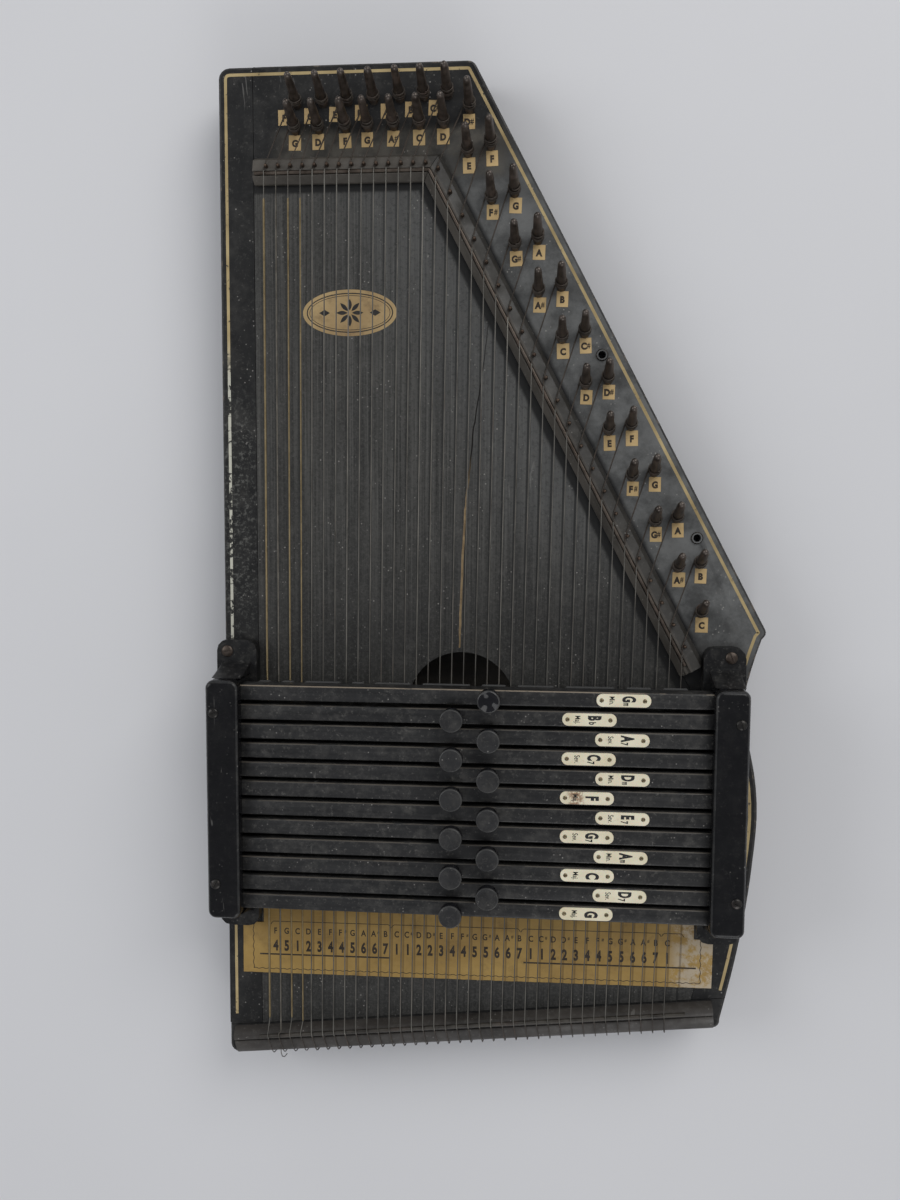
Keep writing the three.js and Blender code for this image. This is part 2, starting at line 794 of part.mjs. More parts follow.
// ---------------------------------------------------------------- small parts
const noteScale = prism(
  [
    [8.4, 49],
    [275.7, 51.5],
    [276, 79.8],
    [265.4, 79.8],
    [265.4, 94],
    [20.6, 94],
    [20.6, 79.8],
    [8.6, 79.8],
  ],
  DECK + GAP,
  DECK + GAP + 0.4,
);
const FEET = [
  [19, 22],
  [264, 48],
  [19, 538],
  [270, 266],
];
const foot = ([x, y]) =>
  turned(
    [
      [0, 0],
      [6, 0],
      [7, 0.8],
      [7.5, FOOT_HEIGHT - GAP],
      [0, FOOT_HEIGHT - GAP],
    ],
    x,
    y,
    16,
  );

// ---------------------------------------------------------------- assembly
const zither = new THREE.Group();
const add = (name, body, material) => {
  const mesh = body.getMesh();
  const geometry = new THREE.BufferGeometry()
    .setAttribute("position", new THREE.BufferAttribute(new Float32Array(mesh.vertProperties), 3))
    .setIndex(new THREE.BufferAttribute(new Uint32Array(mesh.triVerts), 1));
  geometry.computeVertexNormals();
  const node = new THREE.Mesh(geometry, paint(...COLORS[material]));
  node.name = name;
  zither.add(node);
};

add("soundboard", soundboard, "board");
add("back_panel", backPanel, "lacquer");
add("bass_rail", bassRail, "lacquer");
add("treble_rail", trebleRail, "lacquer");
add("pin_block", pinBlock, "lacquer");
add("tail_block", tailBlock, "lacquer");
add("tuning_pins_top", pinRow(pinSpots.slice(0, PINS_ON_TOP)), "pin");
add("tuning_pins_slant", pinRow(pinSpots.slice(PINS_ON_TOP)), "pin");
add("brace_upper", braceUpper, "wood");
add("brace_lower", braceLower, "wood");
add("nut_strip_top", nutStripTop, "nut");
add("nut_strip_diagonal", nutStripDiagonal, "nut");
add("nut_rod", nutRod, "rod");
add("tail_bridge", tailBridge, "nut");
add("hitch_plate", hitchPlate, "plate");
add("string_band", stringBand, "wire");
add("bass_holder", holder(false), "holder");
add("treble_holder", holder(true), "holder");
add("bass_cover", cover(false), "cover");
add("treble_cover", cover(true), "cover");
add("bass_spring_row", springRow(false), "spring");
add("treble_spring_row", springRow(true), "spring");
holderScrews.forEach((s, i) =>
  add(`holder_screw_${i + 1}`, screw(s.x, s.y, DECK + PAD_HEIGHT + GAP, 3.1, 1.4, 16, 0.5 + i), "screw"),
);
coverScrews.forEach((s, i) =>
  add(
    `cover_screw_${i + 1}`,
    screw(sideX(s.treble)(s.x), s.y, DECK + COVER_HEIGHT + GAP, 2.7, 1.05, 15, 0.3 + 0.8 * i),
    "screw",
  ),
);
FEET.forEach((spot, i) => add(`rubber_foot_${i + 1}`, foot(spot), "rubber"));
add("note_scale", noteScale, "paper");
rows.forEach((i) => {
  const label = String(i + 1).padStart(2, "0");
  add(`chord_bar_${label}`, chordBar(i), "bar");
  add(`chord_button_${label}`, chordButton(i), "button");
});

// The origin goes under the middle of the whole, on the surface it stands on.
const extent = new THREE.Box3().setFromObject(zither);
const middle = extent.getCenter(new THREE.Vector3());
zither.position.set(-middle.x, -middle.y, -extent.min.z);

const group = new THREE.Group();
group.add(zither);
export default group;
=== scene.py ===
"""The looks of a chorded zither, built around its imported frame. Lengths are in metres in the row frame,
except in the tables and helpers marked mm, which are measured from the tail corner on the bass side
and, upwards, from the soundboard's face."""

import math
import random

import bmesh
import bpy
from mathutils import Matrix, Vector, noise


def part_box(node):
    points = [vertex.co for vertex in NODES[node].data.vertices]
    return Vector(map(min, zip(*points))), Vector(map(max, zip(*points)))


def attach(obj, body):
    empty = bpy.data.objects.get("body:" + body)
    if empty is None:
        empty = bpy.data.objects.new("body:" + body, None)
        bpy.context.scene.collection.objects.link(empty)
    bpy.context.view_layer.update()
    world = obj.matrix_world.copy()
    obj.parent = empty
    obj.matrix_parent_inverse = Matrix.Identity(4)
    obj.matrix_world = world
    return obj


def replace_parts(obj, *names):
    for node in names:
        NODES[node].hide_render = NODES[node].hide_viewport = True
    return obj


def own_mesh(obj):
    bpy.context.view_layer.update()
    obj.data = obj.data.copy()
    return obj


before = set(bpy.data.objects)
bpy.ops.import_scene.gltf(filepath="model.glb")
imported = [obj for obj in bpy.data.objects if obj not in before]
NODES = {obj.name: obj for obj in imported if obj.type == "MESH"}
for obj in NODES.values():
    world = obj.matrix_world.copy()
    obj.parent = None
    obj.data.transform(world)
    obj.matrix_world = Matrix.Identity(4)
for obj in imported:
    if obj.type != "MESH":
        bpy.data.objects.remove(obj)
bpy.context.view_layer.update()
MM = 0.001
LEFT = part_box("bass_rail")[0].x
TOP_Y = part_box("pin_block")[1].y
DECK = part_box("soundboard")[1].z
LENGTH = 556.0


def P(x, y, h=0.0):
    """A point given in mm from the tail corner and above the deck."""
    return Vector((LEFT + x * MM, TOP_Y + (y - LENGTH) * MM, DECK + h * MM))


def x_at(x):
    return P(x, 0).x


def y_at(y):
    return P(0, y).y


# ------------------------------------------------------------------ dimensions, mm
TAIL_IN = Vector((-0.10394, 0.99458, 0))
NUT_COS, NUT_SIN = 0.8829, 0.4696  # of the slanting nut
NUT_AWAY = Vector((NUT_COS, NUT_SIN, 0))
NUT_ALONG = Vector((NUT_SIN, -NUT_COS, 0))
NUT_EDGE_Y, NUT_EDGE_N = 493.2, 331.5
KNEE = ((NUT_EDGE_N - NUT_SIN * NUT_EDGE_Y) / NUT_COS, NUT_EDGE_Y)
STRINGS = 36
FIRST_STRING_X, STRING_PITCH = 26, 6.41
ROD_AWAY, GUIDE_AWAY = 4.8, 8.3  # the nut rod and the guide pins, beyond the nut's string side
TAIL_ROD_IN = 12.7  # the tail rod, in from the tail edge
TAIL_ROD_TOP, NUT_ROD_TOP = 9.0, 8.0
CAMERA_X = 0.035  # metres, where the photo's camera stands
PARALLAX = 0.9865  # how far a string's place shrinks towards CAMERA_X when the photo shows it on the deck
PIN_LEAN = 0.33  # radians, the tops towards the tuning end
LAST_TOP_PIN = 13
BAR_BASE, BAR_TOP = 18, 30.5
BAR_Y = [219.3 - 10.52 * i for i in range(12)]
BUTTON_X = [152, 132.5]
SPARE_HOLES = [(209.1, 401.4), (261.7, 303.6)]
NOTES = "F G C D E F F# G A A# B C C# D D# E F F# G G# A A# B C C# D D# E F F# G G# A A# B C".split()
CHORDS = "G A# D;A# D F;A C# E G;C E G A#;D F A;F A C;E G# B D;G B D F;A C E;C E G;D F# A C;G B D"
CHORDS = [c.split() for c in CHORDS.split(";")]
NAMES = ["Gm", "Bb", "A7", "C7", "Dm", "F", "E7", "G7", "Am", "C", "D7", "G"]


def tail_y(x):
    return -0.26 + 0.1045 * x


def from_tail(x, d):
    return x + d * TAIL_IN.x, tail_y(x) + d * TAIL_IN.y


def string_x(i, y):
    tail = FIRST_STRING_X + STRING_PITCH * i
    return tail + (y - tail_y(tail)) * (0.0016 + 0.000477 * i)


def on_nut(i, away):
    """Where string i crosses the line that lies this far beyond the nut's string side."""
    y = NUT_EDGE_Y + away
    for _ in range(8):
        x = string_x(i, y)
        y = min(NUT_EDGE_Y + away, (NUT_EDGE_N + away - NUT_COS * x) / NUT_SIN)
    return string_x(i, y), y


PINS = []
for i, (back, front) in enumerate(
    zip((43.4, 57.7, 71.3, 85.5, 99.5, 112.5, 125.3), (42.6, 55.4, 70.2, 82.2, 96.3, 110.3, 123.3))
):
    PINS += [(back, 535.4 + 0.5 * i), (front, 522 + 0.25 * i)]
PINS.append((137.1, 530.8))
for i in range(11):
    PINS.append((136.2 + 12.84 * i, 508.1 - 24.52 * i))
    if i < 10:
        PINS.append((148.5 + 12.77 * i, 511.5 - 24.66 * i))


# ------------------------------------------------------------------ materials
class Surface:
    """A Principled material whose colour, roughness and relief come from nodes in object space."""

    def __init__(self, name, **sockets):
        self.material = bpy.data.materials.new(name)
        self.material.use_nodes = True
        self.tree = self.material.node_tree
        self.shader = self.tree.nodes["Principled BSDF"]
        self.place = self.tree.nodes.new("ShaderNodeTexCoord").outputs["Object"]
        for key, value in sockets.items():
            self.shader.inputs[key.replace("_", " ")].default_value = value

    def _put(self, socket, value):
        if isinstance(value, bpy.types.NodeSocket):
            self.tree.links.new(value, socket)
        elif isinstance(value, tuple) and len(value) == 3 and len(socket.default_value) == 4:
            socket.default_value = (*value, 1)
        else:
            socket.default_value = value

    def _stretched(self, stretch):
        if stretch == (1, 1, 1):
            return self.place
        node = self.tree.nodes.new("ShaderNodeMapping")
        node.inputs["Scale"].default_value = stretch
        self.tree.links.new(self.place, node.inputs["Vector"])
        return node.outputs["Vector"]

    def noise(self, scale, detail=4.0, rough=0.5, stretch=(1, 1, 1), warp=0.0):
        node = self.tree.nodes.new("ShaderNodeTexNoise")
        self.tree.links.new(self._stretched(stretch), node.inputs["Vector"])
        for key, value in (("Scale", scale), ("Detail", detail), ("Roughness", rough), ("Distortion", warp)):
            node.inputs[key].default_value = value
        return node.outputs["Fac"]

    def cells(self, scale, stretch=(1, 1, 1), kind="F1"):
        node = self.tree.nodes.new("ShaderNodeTexVoronoi")
        node.feature = kind
        self.tree.links.new(self._stretched(stretch), node.inputs["Vector"])
        node.inputs["Scale"].default_value = scale
        return node.outputs["Distance"]

    def axis(self, name):
        node = self.tree.nodes.new("ShaderNodeSeparateXYZ")
        self.tree.links.new(self.place, node.inputs[0])
        return node.outputs[name]

    def beyond(self, direction, mm):
        """How far a point lies in a direction, from 0 at this many mm from the tail corner, in metres."""
        x = self.times(self.axis("X"), direction.x)
        y = self.times(self.axis("Y"), direction.y)
        origin = P(0, 0).xy.dot(direction.xy)
        return self.math("SUBTRACT", self.math("ADD", x, y), origin + mm * MM)

    def within(self, name, low, high, soft):
        """1 between two places along an axis, in metres, fading out over soft."""
        along = self.axis(name)
        return self.times(self.spread(along, low - soft, low), self.spread(along, high + soft, high))

    def painted_string_shadows(self, gap):
        """1 on a painted string shadow: a thin line beside each string, gap metres to the bass side of where a
        camera at CAMERA_X sees it. 1 on a thin line beside each string, gap metres to the bass side of where
        the photo's camera sees it.

        The place is fixed on the surface, but from other views the line doesn't lie beside its string.
        """
        lean = self.times(self.math("ADD", self.axis("X"), gap - CAMERA_X), PARALLAX)
        across = self.math("ADD", lean, CAMERA_X - x_at(0))
        above = self.math("SUBTRACT", self.axis("Y"), y_at(0))
        up = self.math("SUBTRACT", above, self.times(across, 0.1045))
        pitch = self.math("ADD", self.times(up, 0.000477), 0.00641)
        start = self.math("ADD", self.times(up, 0.0016), 0.026)
        index = self.math("DIVIDE", self.math("SUBTRACT", across, start), pitch)
        beat = self.math("SUBTRACT", self.math("FRACT", self.math("ADD", index, 0.5), 0.0), 0.5)
        line = self.spread(self.math("ABSOLUTE", beat, 0.0), 0.12, 0.05)
        return self.times(line, self.within("X", x_at(22), x_at(262), 0.001))

    def ramp(self, fac, *stops):
        node = self.tree.nodes.new("ShaderNodeValToRGB")
        self.tree.links.new(fac, node.inputs[0])
        ramp = node.color_ramp
        while len(ramp.elements) < len(stops):
            ramp.elements.new(1)
        for element, (at, value) in zip(ramp.elements, stops):
            element.position = at
            element.color = (*value, 1) if isinstance(value, tuple) else (value, value, value, 1)
        return node.outputs["Color"]

    def spread(self, fac, low, high, to_low=0.0, to_high=1.0):
        node = self.tree.nodes.new("ShaderNodeMapRange")
        node.interpolation_type = "SMOOTHSTEP"
        for socket, value in zip(node.inputs, (fac, low, high, to_low, to_high)):
            self._put(socket, value)
        return node.outputs["Result"]

    def mix(self, fac, a, b):
        node = self.tree.nodes.new("ShaderNodeMix")
        node.data_type = "RGBA"
        for socket, value in ((node.inputs[0], fac), (node.inputs[6], a), (node.inputs[7], b)):
            self._put(socket, value)
        return node.outputs[2]

    def math(self, operation, a, b):
        node = self.tree.nodes.new("ShaderNodeMath")
        node.operation = operation
        self._put(node.inputs[0], a)
        self._put(node.inputs[1], b)
        return node.outputs[0]

    def times(self, a, b):
        return self.math("MULTIPLY", a, b)

    def bump(self, height, strength, distance):
        node = self.tree.nodes.new("ShaderNodeBump")
        node.inputs["Strength"].default_value = strength
        node.inputs["Distance"].default_value = distance
        self.tree.links.new(height, node.inputs["Height"])
        last = self.shader.inputs["Normal"]
        if last.is_linked:
            self.tree.links.new(last.links[0].from_socket, node.inputs["Normal"])
        self.tree.links.new(node.outputs["Normal"], last)

    def colour(self, value):
        self._put(self.shader.inputs["Base Color"], value)

    def roughness(self, value):
        self._put(self.shader.inputs["Roughness"], value)

    def metal(self, value):
        self._put(self.shader.inputs["Metallic"], value)


DUST = (0.115, 0.11, 0.1)


def dusty(s, base, film=0.3, specks=0.5, scale=1.0):
    """Lays a thin film of dust, fine specks and hair scratches over a colour."""
    cloud = s.noise(70 * scale, 9, 0.7)
    colour = s.mix(s.spread(cloud, 0.45, 0.75, 0.0, film), base, DUST)
    powder = s.spread(s.noise(420, 10, 0.82), 0.54, 0.65, 0.0, min(1.0, 1.8 * film))
    colour = s.mix(powder, colour, DUST)
    grains = s.cells(360)
    few = s.noise(75, 2)
    spots = s.times(s.spread(grains, 0.19, 0.07), s.spread(few, 0.5, 0.66))
    colour = s.mix(s.times(spots, specks), colour, (0.42, 0.4, 0.37))
    hair = s.spread(s.noise(16, 3, 0.6, (9, 1, 1), 1.4), 0.695, 0.72)
    scratch = s.times(hair, s.spread(s.noise(11, 2), 0.5, 0.62))
    return s.mix(s.times(scratch, 0.22 * (1 + film)), colour, (0.3, 0.29, 0.27))


def lacquer():
    s = Surface("black_lacquer", IOR=1.5, Specular_IOR_Level=0.32)
    base = s.ramp(s.noise(90, 8, 0.65), (0.3, (0.0062, 0.0062, 0.0065)), (0.7, (0.0135, 0.0133, 0.013)))
    # The slanting end round the tuning pins is lighter: it carries more dust than the rest, and a painted
    # sheen.
    slant = s.times(s.spread(s.beyond(NUT_AWAY, 346), 0.0, 0.003), s.within("Y", y_at(262), y_at(470), 0.06))
    dust_and_sheen = s.times(slant, s.spread(s.noise(45, 8, 0.72), 0.33, 0.66, 0.3, 0.9))
    base = s.mix(dust_and_sheen, base, (0.17, 0.173, 0.17))
    # Brown dust lies between the nut and the first row of pins.
    shelf = s.times(s.within("Y", y_at(499), y_at(519), 0.006), s.within("X", x_at(38), x_at(150), 0.012))
    drift = s.spread(s.noise(60, 8, 0.7), 0.36, 0.6, 0.3, 0.95)
    base = s.mix(s.times(shelf, drift), base, (0.085, 0.077, 0.063))
    colour = dusty(s, base, 0.22, 0.6)
    # The bass side is rubbed to a whitish bloom beside the holder.
    beside = s.times(s.within("Y", y_at(275), y_at(350), 0.05), s.spread(s.axis("X"), x_at(26), x_at(12)))
    rubbed = s.spread(s.noise(380, 10, 0.75), 0.5, 0.62)
    bloom = s.times(beside, rubbed)
    colour = s.mix(s.times(bloom, 0.8), colour, (0.12, 0.12, 0.11))
    s.colour(colour)
    s.roughness(s.spread(s.noise(120, 8, 0.65), 0.3, 0.75, 0.34, 0.6))
    s.bump(s.noise(420, 6, 0.65), 0.12, 0.0003)
    s.bump(s.noise(22, 3), 0.1, 0.002)
    return s.material


def worn_edge():
    s = Surface("worn_edge")
    base = s.ramp(s.noise(60, 8, 0.6), (0.3, (0.014, 0.014, 0.014)), (0.75, (0.04, 0.038, 0.035)))
    chips = s.spread(s.noise(170, 9, 0.7), 0.56, 0.62)
    colour = s.mix(s.times(chips, 0.7), base, (0.13, 0.105, 0.08))
    s.colour(colour)
    s.roughness(s.spread(s.noise(90, 6), 0.3, 0.7, 0.4, 0.75))
    s.bump(s.noise(210, 8, 0.7), 0.4, 0.0006)
    return s.material


def board():
    s = Surface("stained_board", IOR=1.45, Specular_IOR_Level=0.4)
    fine = s.noise(10, 7, 0.65, (90, 1, 1), 0.1)
    broad = s.noise(6, 5, 0.55, (22, 1, 1), 0.5)
    dark, middle, light = (0.024, 0.0235, 0.022), (0.054, 0.053, 0.049), (0.1, 0.098, 0.091)
    base = s.ramp(fine, (0.36, dark), (0.5, middle), (0.64, light))
    base = s.mix(s.spread(broad, 0.4, 0.7, 0.0, 0.5), base, (0.03, 0.0295, 0.028))
    # Darker towards the bars and the tail.
    low = s.spread(s.axis("Y"), y_at(335), y_at(225))
    base = s.mix(s.times(low, 0.66), base, (0.0175, 0.017, 0.016))
    # A painted sheen lightens the board towards the slanting nut.
    bright = s.times(s.spread(s.beyond(NUT_AWAY, 262), 0.0, 0.06), s.within("Y", y_at(330), y_at(470), 0.07))
    base = s.mix(s.times(bright, 0.5), base, (0.115, 0.117, 0.116))
    colour = dusty(s, base, 0.3, 0.75, 1.4)
    colour = s.mix(s.spread(s.noise(650, 6, 0.8), 0.47, 0.62, 0.0, 0.4), colour, (0.1, 0.098, 0.091))
    colour = s.mix(s.spread(s.noise(560, 6, 0.8), 0.5, 0.62, 0.0, 0.45), colour, (0.016, 0.0155, 0.0145))
    fleck = s.times(s.spread(s.cells(300), 0.13, 0.06), s.spread(s.noise(60, 4), 0.5, 0.62))
    colour = s.mix(s.times(fleck, 0.5), colour, (0.26, 0.25, 0.23))
    # A painted string shadow: a dark line beside each string, placed where a camera at CAMERA_X sees the
    # strings. A dark line beside each string, placed as the photo's camera sees it.
    line = s.times(s.painted_string_shadows(0.0011), s.spread(s.axis("X"), x_at(40), x_at(190), 0.45, 0.85))
    colour = s.mix(line, colour, (0.013, 0.013, 0.0125))
    blotch = s.spread(s.noise(190, 9, 0.7), 0.58, 0.7, 0.0, 0.25)
    colour = s.mix(blotch, colour, (0.14, 0.136, 0.127))
    # A painted shade darkens the corner along the nut.
    at_top = s.spread(s.axis("Y"), y_at(488), y_at(490))
    darkening = s.math("MAXIMUM", at_top, s.spread(s.beyond(NUT_AWAY, 325.2), 0.0, 0.0025))
    colour = s.mix(s.times(darkening, 0.93), colour, (0.004, 0.004, 0.004))
    s.colour(colour)
    s.roughness(s.spread(fine, 0.3, 0.75, 0.45, 0.7))
    s.bump(fine, 0.25, 0.0004)
    s.bump(s.noise(500, 5, 0.65), 0.12, 0.0003)
    return s.material


def bare_wood(name, light, dark, darkening=0.3, dark_from=None):
    s = Surface(name)
    grain = s.noise(9, 7, 0.6, (1, 26, 26), 0.7)
    base = s.ramp(grain, (0.3, dark), (0.55, light), (0.8, tuple(1.18 * c for c in light)))
    dirt = s.spread(s.noise(28, 8, 0.6), 0.45, 0.75, 0.0, darkening)
    colour = s.mix(dirt, base, (0.05, 0.042, 0.034))
    if dark_from is not None:
        colour = s.mix(s.spread(s.axis("Y"), dark_from, dark_from + 0.02), colour, (0.02, 0.0185, 0.016))
    s.colour(colour)
    s.roughness(s.spread(grain, 0.3, 0.75, 0.55, 0.8))
    s.bump(grain, 0.3, 0.0005)
    return s.material


def nut_wood(name, low, high):
    s = Surface(name, IOR=1.45)
    grain = s.noise(22, 7, 0.6, (1, 1, 1), 0.6)
    base = s.ramp(grain, (0.32, low), (0.66, high))
    outside = s.spread(s.beyond(NUT_AWAY, 338.2), 0.0, 0.0012)
    base = s.mix(s.times(outside, 0.75), base, (0.026, 0.025, 0.0225))
    s.colour(dusty(s, base, 0.3, 0.5, 2.0))
    s.roughness(s.spread(s.noise(80, 6), 0.3, 0.7, 0.42, 0.7))
    s.bump(s.noise(190, 7, 0.65), 0.25, 0.0005)
    return s.material


def metal(name, low, high, rough=(0.3, 0.6), rust=0.3, grain=200.0, metallic=(0.6, 1.0)):
    s = Surface(name)
    cloud = s.noise(grain, 8, 0.65)
    base = s.ramp(cloud, (0.3, low), (0.7, high))
    patches = s.spread(s.noise(grain * 0.6, 9, 0.7), 0.5, 0.66)
    s.colour(s.mix(s.times(patches, rust), base, (0.055, 0.026, 0.013)))
    s.metal(s.spread(patches, 0.0, 1.0, metallic[1], metallic[0]))
    s.roughness(s.spread(cloud, 0.3, 0.75, *rough))
    s.bump(cloud, 0.22, 0.0002)
    return s.material


def wound(name, low, high, rough):
    """Round-wound bass wire: the winding shows as fine ridges across it."""
    s = Surface(name)
    cloud = s.noise(130, 7, 0.6)
    ridge = s.math("SINE", s.times(s.axis("Y"), 9000.0), 0.0)
    base = s.ramp(cloud, (0.3, low), (0.7, high))
    s.colour(s.mix(s.spread(ridge, -1.0, 0.2, 0.5, 0.0), base, tuple(0.4 * c for c in low)))
    s.metal(s.spread(cloud, 0.3, 0.8, 1.0, 0.8))
    s.roughness(s.spread(cloud, 0.3, 0.75, *rough))
    s.bump(ridge, 0.4, 0.0002)
    return s.material


def plastic(name, low, high, rough, film, specks=0.6, coat=0.0):
    s = Surface(name, IOR=1.5, Specular_IOR_Level=0.25)
    s.shader.inputs["Coat Weight"].default_value = coat
    base = s.ramp(s.noise(80, 8, 0.65), (0.3, low), (0.75, high))
    s.colour(dusty(s, base, film, specks, 1.6))
    s.roughness(s.spread(s.noise(95, 8, 0.7), 0.32, 0.72, *rough))
    s.bump(s.noise(520, 5, 0.6), 0.08, 0.0002)
    return s.material


def bar_paint():
    s = Surface("bar_paint", IOR=1.5, Specular_IOR_Level=0.38)
    streak = s.noise(14, 7, 0.65, (1, 30, 30), 0.3)
    base = s.ramp(streak, (0.3, (0.0085, 0.0085, 0.009)), (0.75, (0.026, 0.0258, 0.026)))
    colour = dusty(s, base, 0.38, 0.5, 1.8)
    worn = s.times(s.spread(s.noise(95, 9, 0.7), 0.6, 0.7), 0.3)
    s.colour(s.mix(worn, colour, (0.1, 0.095, 0.085)))
    s.roughness(s.spread(s.noise(36, 8, 0.6), 0.32, 0.72, 0.3, 0.58))
    s.bump(s.noise(240, 6, 0.6), 0.12, 0.0003)
    return s.material


def bar_edge():
    """The rear top corner of the bars, rubbed to the wood along the first one."""
    s = Surface("bar_edge")
    base = s.ramp(s.noise(60, 6), (0.3, (0.012, 0.012, 0.012)), (0.7, (0.035, 0.034, 0.032)))
    bare = s.spread(s.noise(34, 8, 0.7, (1, 4, 4)), 0.4, 0.5)
    first = s.spread(s.axis("Y"), y_at(216), y_at(219), 0.22, 0.9)
    s.colour(s.mix(s.times(bare, first), base, (0.27, 0.22, 0.165)))
    s.roughness(s.spread(s.noise(90, 5), 0.3, 0.7, 0.45, 0.7))
    return s.material


def ivory(name="ivory_plastic", rust=None):
    s = Surface(name, IOR=1.5, Subsurface_Weight=0.06)
    s.shader.inputs["Subsurface Scale"].default_value = 0.001
    base = s.ramp(s.noise(60, 6, 0.6), (0.3, (0.74, 0.66, 0.46)), (0.7, (0.88, 0.82, 0.64)))
    darkening = s.spread(s.noise(210, 8, 0.7), 0.6, 0.78, 0.0, 0.4)
    colour = s.mix(darkening, base, (0.24, 0.18, 0.11))
    if rust:
        near = s.within("X", rust.x - 0.0022, rust.x + 0.0022, 0.0035)
        spot = s.times(near, s.spread(s.noise(420, 8, 0.7), 0.42, 0.58))
        colour = s.mix(s.times(spot, 0.85), colour, (0.24, 0.105, 0.045))
    s.colour(colour)
    s.roughness(s.spread(s.noise(90, 5), 0.3, 0.7, 0.3, 0.5))
    s.bump(s.noise(260, 5), 0.08, 0.0002)
    return s.material


def ink(name, dark, faded, wear=0.4):
    s = Surface(name)
    base = s.ramp(s.noise(160, 6), (0.3, dark), (0.75, tuple(1.6 * c for c in dark)))
    s.colour(s.mix(s.spread(s.noise(420, 7, 0.7), 0.5, 0.72, 0.0, wear), base, faded))
    s.roughness(s.spread(s.noise(200, 4), 0.3, 0.7, 0.5, 0.75))
    return s.material


def paper(name, light, dark, stain, stained=0.5, damage=None, lines=0.0):
    s = Surface(name)
    base = s.ramp(s.noise(30, 8, 0.62, (1, 1, 1), 0.5), (0.3, dark), (0.72, light))
    spots = s.spread(s.noise(85, 9, 0.7), 0.5, 0.74, 0.0, stained)
    colour = s.mix(spots, base, stain)
    fibre = s.noise(60, 6, 0.65, (1, 9, 1), 0.4)
    colour = s.mix(s.spread(fibre, 0.58, 0.75, 0.0, 0.25), colour, tuple(1.25 * c for c in light))
    if damage:
        at, reach = damage
        side = s.spread(s.axis("X"), at - reach, at + 0.3 * reach)
        gone = s.times(side, s.spread(s.noise(120, 10, 0.75), 0.43, 0.55))
        colour = s.mix(s.times(gone, 0.75), colour, (0.52, 0.45, 0.35))
    # Painted string shadows: a dark line beside each string.
    if lines:
        colour = s.mix(s.times(s.painted_string_shadows(0.0003), lines), colour, (0.075, 0.045, 0.018))
    s.colour(colour)
    s.roughness(s.spread(fibre, 0.3, 0.7, 0.55, 0.8))
    s.bump(s.noise(160, 8, 0.65), 0.3, 0.0003)
    return s.material


def gold():
    s = Surface("gold_line")
    base = s.ramp(s.noise(70, 7), (0.3, (0.34, 0.25, 0.115)), (0.7, (0.55, 0.43, 0.22)))
    # It has gone pale beside the bass holder, and has chipped down to the lacquer everywhere.
    pale = s.times(s.spread(s.axis("X"), x_at(12), x_at(8)), s.within("Y", y_at(240), y_at(385), 0.03))
    base = s.mix(s.times(pale, 0.9), base, (0.6, 0.6, 0.52))
    chips = s.spread(s.noise(300, 8, 0.75), 0.6, 0.64)
    heavy = s.times(pale, s.spread(s.noise(150, 5, 0.7), 0.5, 0.54))
    s.colour(s.mix(s.math("MAXIMUM", chips, heavy), base, (0.025, 0.024, 0.022)))
    s.metal(s.spread(chips, 0.0, 1.0, 0.25, 0.0))
    s.roughness(s.spread(s.noise(120, 5), 0.3, 0.7, 0.4, 0.6))
    return s.material


def felt():
    s = Surface("grey_felt", Sheen_Weight=0.1)
    fibre = s.noise(900, 8, 0.75, (1, 1, 1), 2.0)
    s.colour(s.ramp(fibre, (0.3, (0.012, 0.0118, 0.0115)), (0.7, (0.042, 0.04, 0.037))))
    s.roughness(s.spread(fibre, 0.3, 0.7, 0.85, 0.98))
    s.bump(fibre, 0.6, 0.0006)
    return s.material


def rubber():
    s = Surface("black_rubber")
    s.colour(dusty(s, s.ramp(s.noise(90, 6), (0.3, (0.012, 0.012, 0.012)), (0.7, (0.03, 0.03, 0.03))), 0.4))
    s.roughness(s.spread(s.noise(150, 6), 0.3, 0.7, 0.7, 0.9))
    s.bump(s.noise(600, 6), 0.3, 0.0003)
    return s.material


LACQUER, EDGE, BOARD = lacquer(), worn_edge(), board()
NUT = nut_wood("nut_strips", (0.04, 0.035, 0.029), (0.11, 0.098, 0.083))
TAIL = nut_wood("tail_strips", (0.02, 0.0175, 0.0155), (0.058, 0.051, 0.045))
WOOD = bare_wood("bare_wood", (0.3, 0.2, 0.105), (0.16, 0.1, 0.05))
# The wood inside the box is dark with dust, and darker still as a painted shade.
DIM_WOOD = bare_wood("dust_and_shade_inside", (0.05, 0.043, 0.034), (0.024, 0.02, 0.016), 0.4)
CRACK = bare_wood("split_wood", (0.4, 0.3, 0.175), (0.2, 0.14, 0.08), 0.3, y_at(330))
STEEL = metal("string_steel", (0.085, 0.08, 0.07), (0.21, 0.2, 0.178), (0.38, 0.62), 0.35, 60, (0.3, 0.7))
PALE_STEEL = metal("new_string_steel", (0.13, 0.125, 0.11), (0.27, 0.255, 0.225), (0.35, 0.55), 0.3, 60,
                   (0.4, 0.8))
BRASS = wound("brass_winding", (0.24, 0.18, 0.095), (0.4, 0.32, 0.185), (0.4, 0.6))
GREY_WOUND = wound("steel_winding", (0.13, 0.12, 0.1), (0.26, 0.24, 0.205), (0.4, 0.6))
PIN = metal("pin_steel", (0.05, 0.039, 0.032), (0.13, 0.106, 0.09), (0.34, 0.6), 0.4, 260, (0.2, 0.75))
TIP = metal("pin_tip", (0.06, 0.049, 0.042), (0.155, 0.134, 0.118), (0.28, 0.5), 0.35, 260, (0.3, 0.9))
GUIDE = metal("guide_pin_steel", (0.045, 0.03, 0.022), (0.13, 0.095, 0.072), (0.3, 0.55), 0.6, 400,
              (0.3, 0.9))
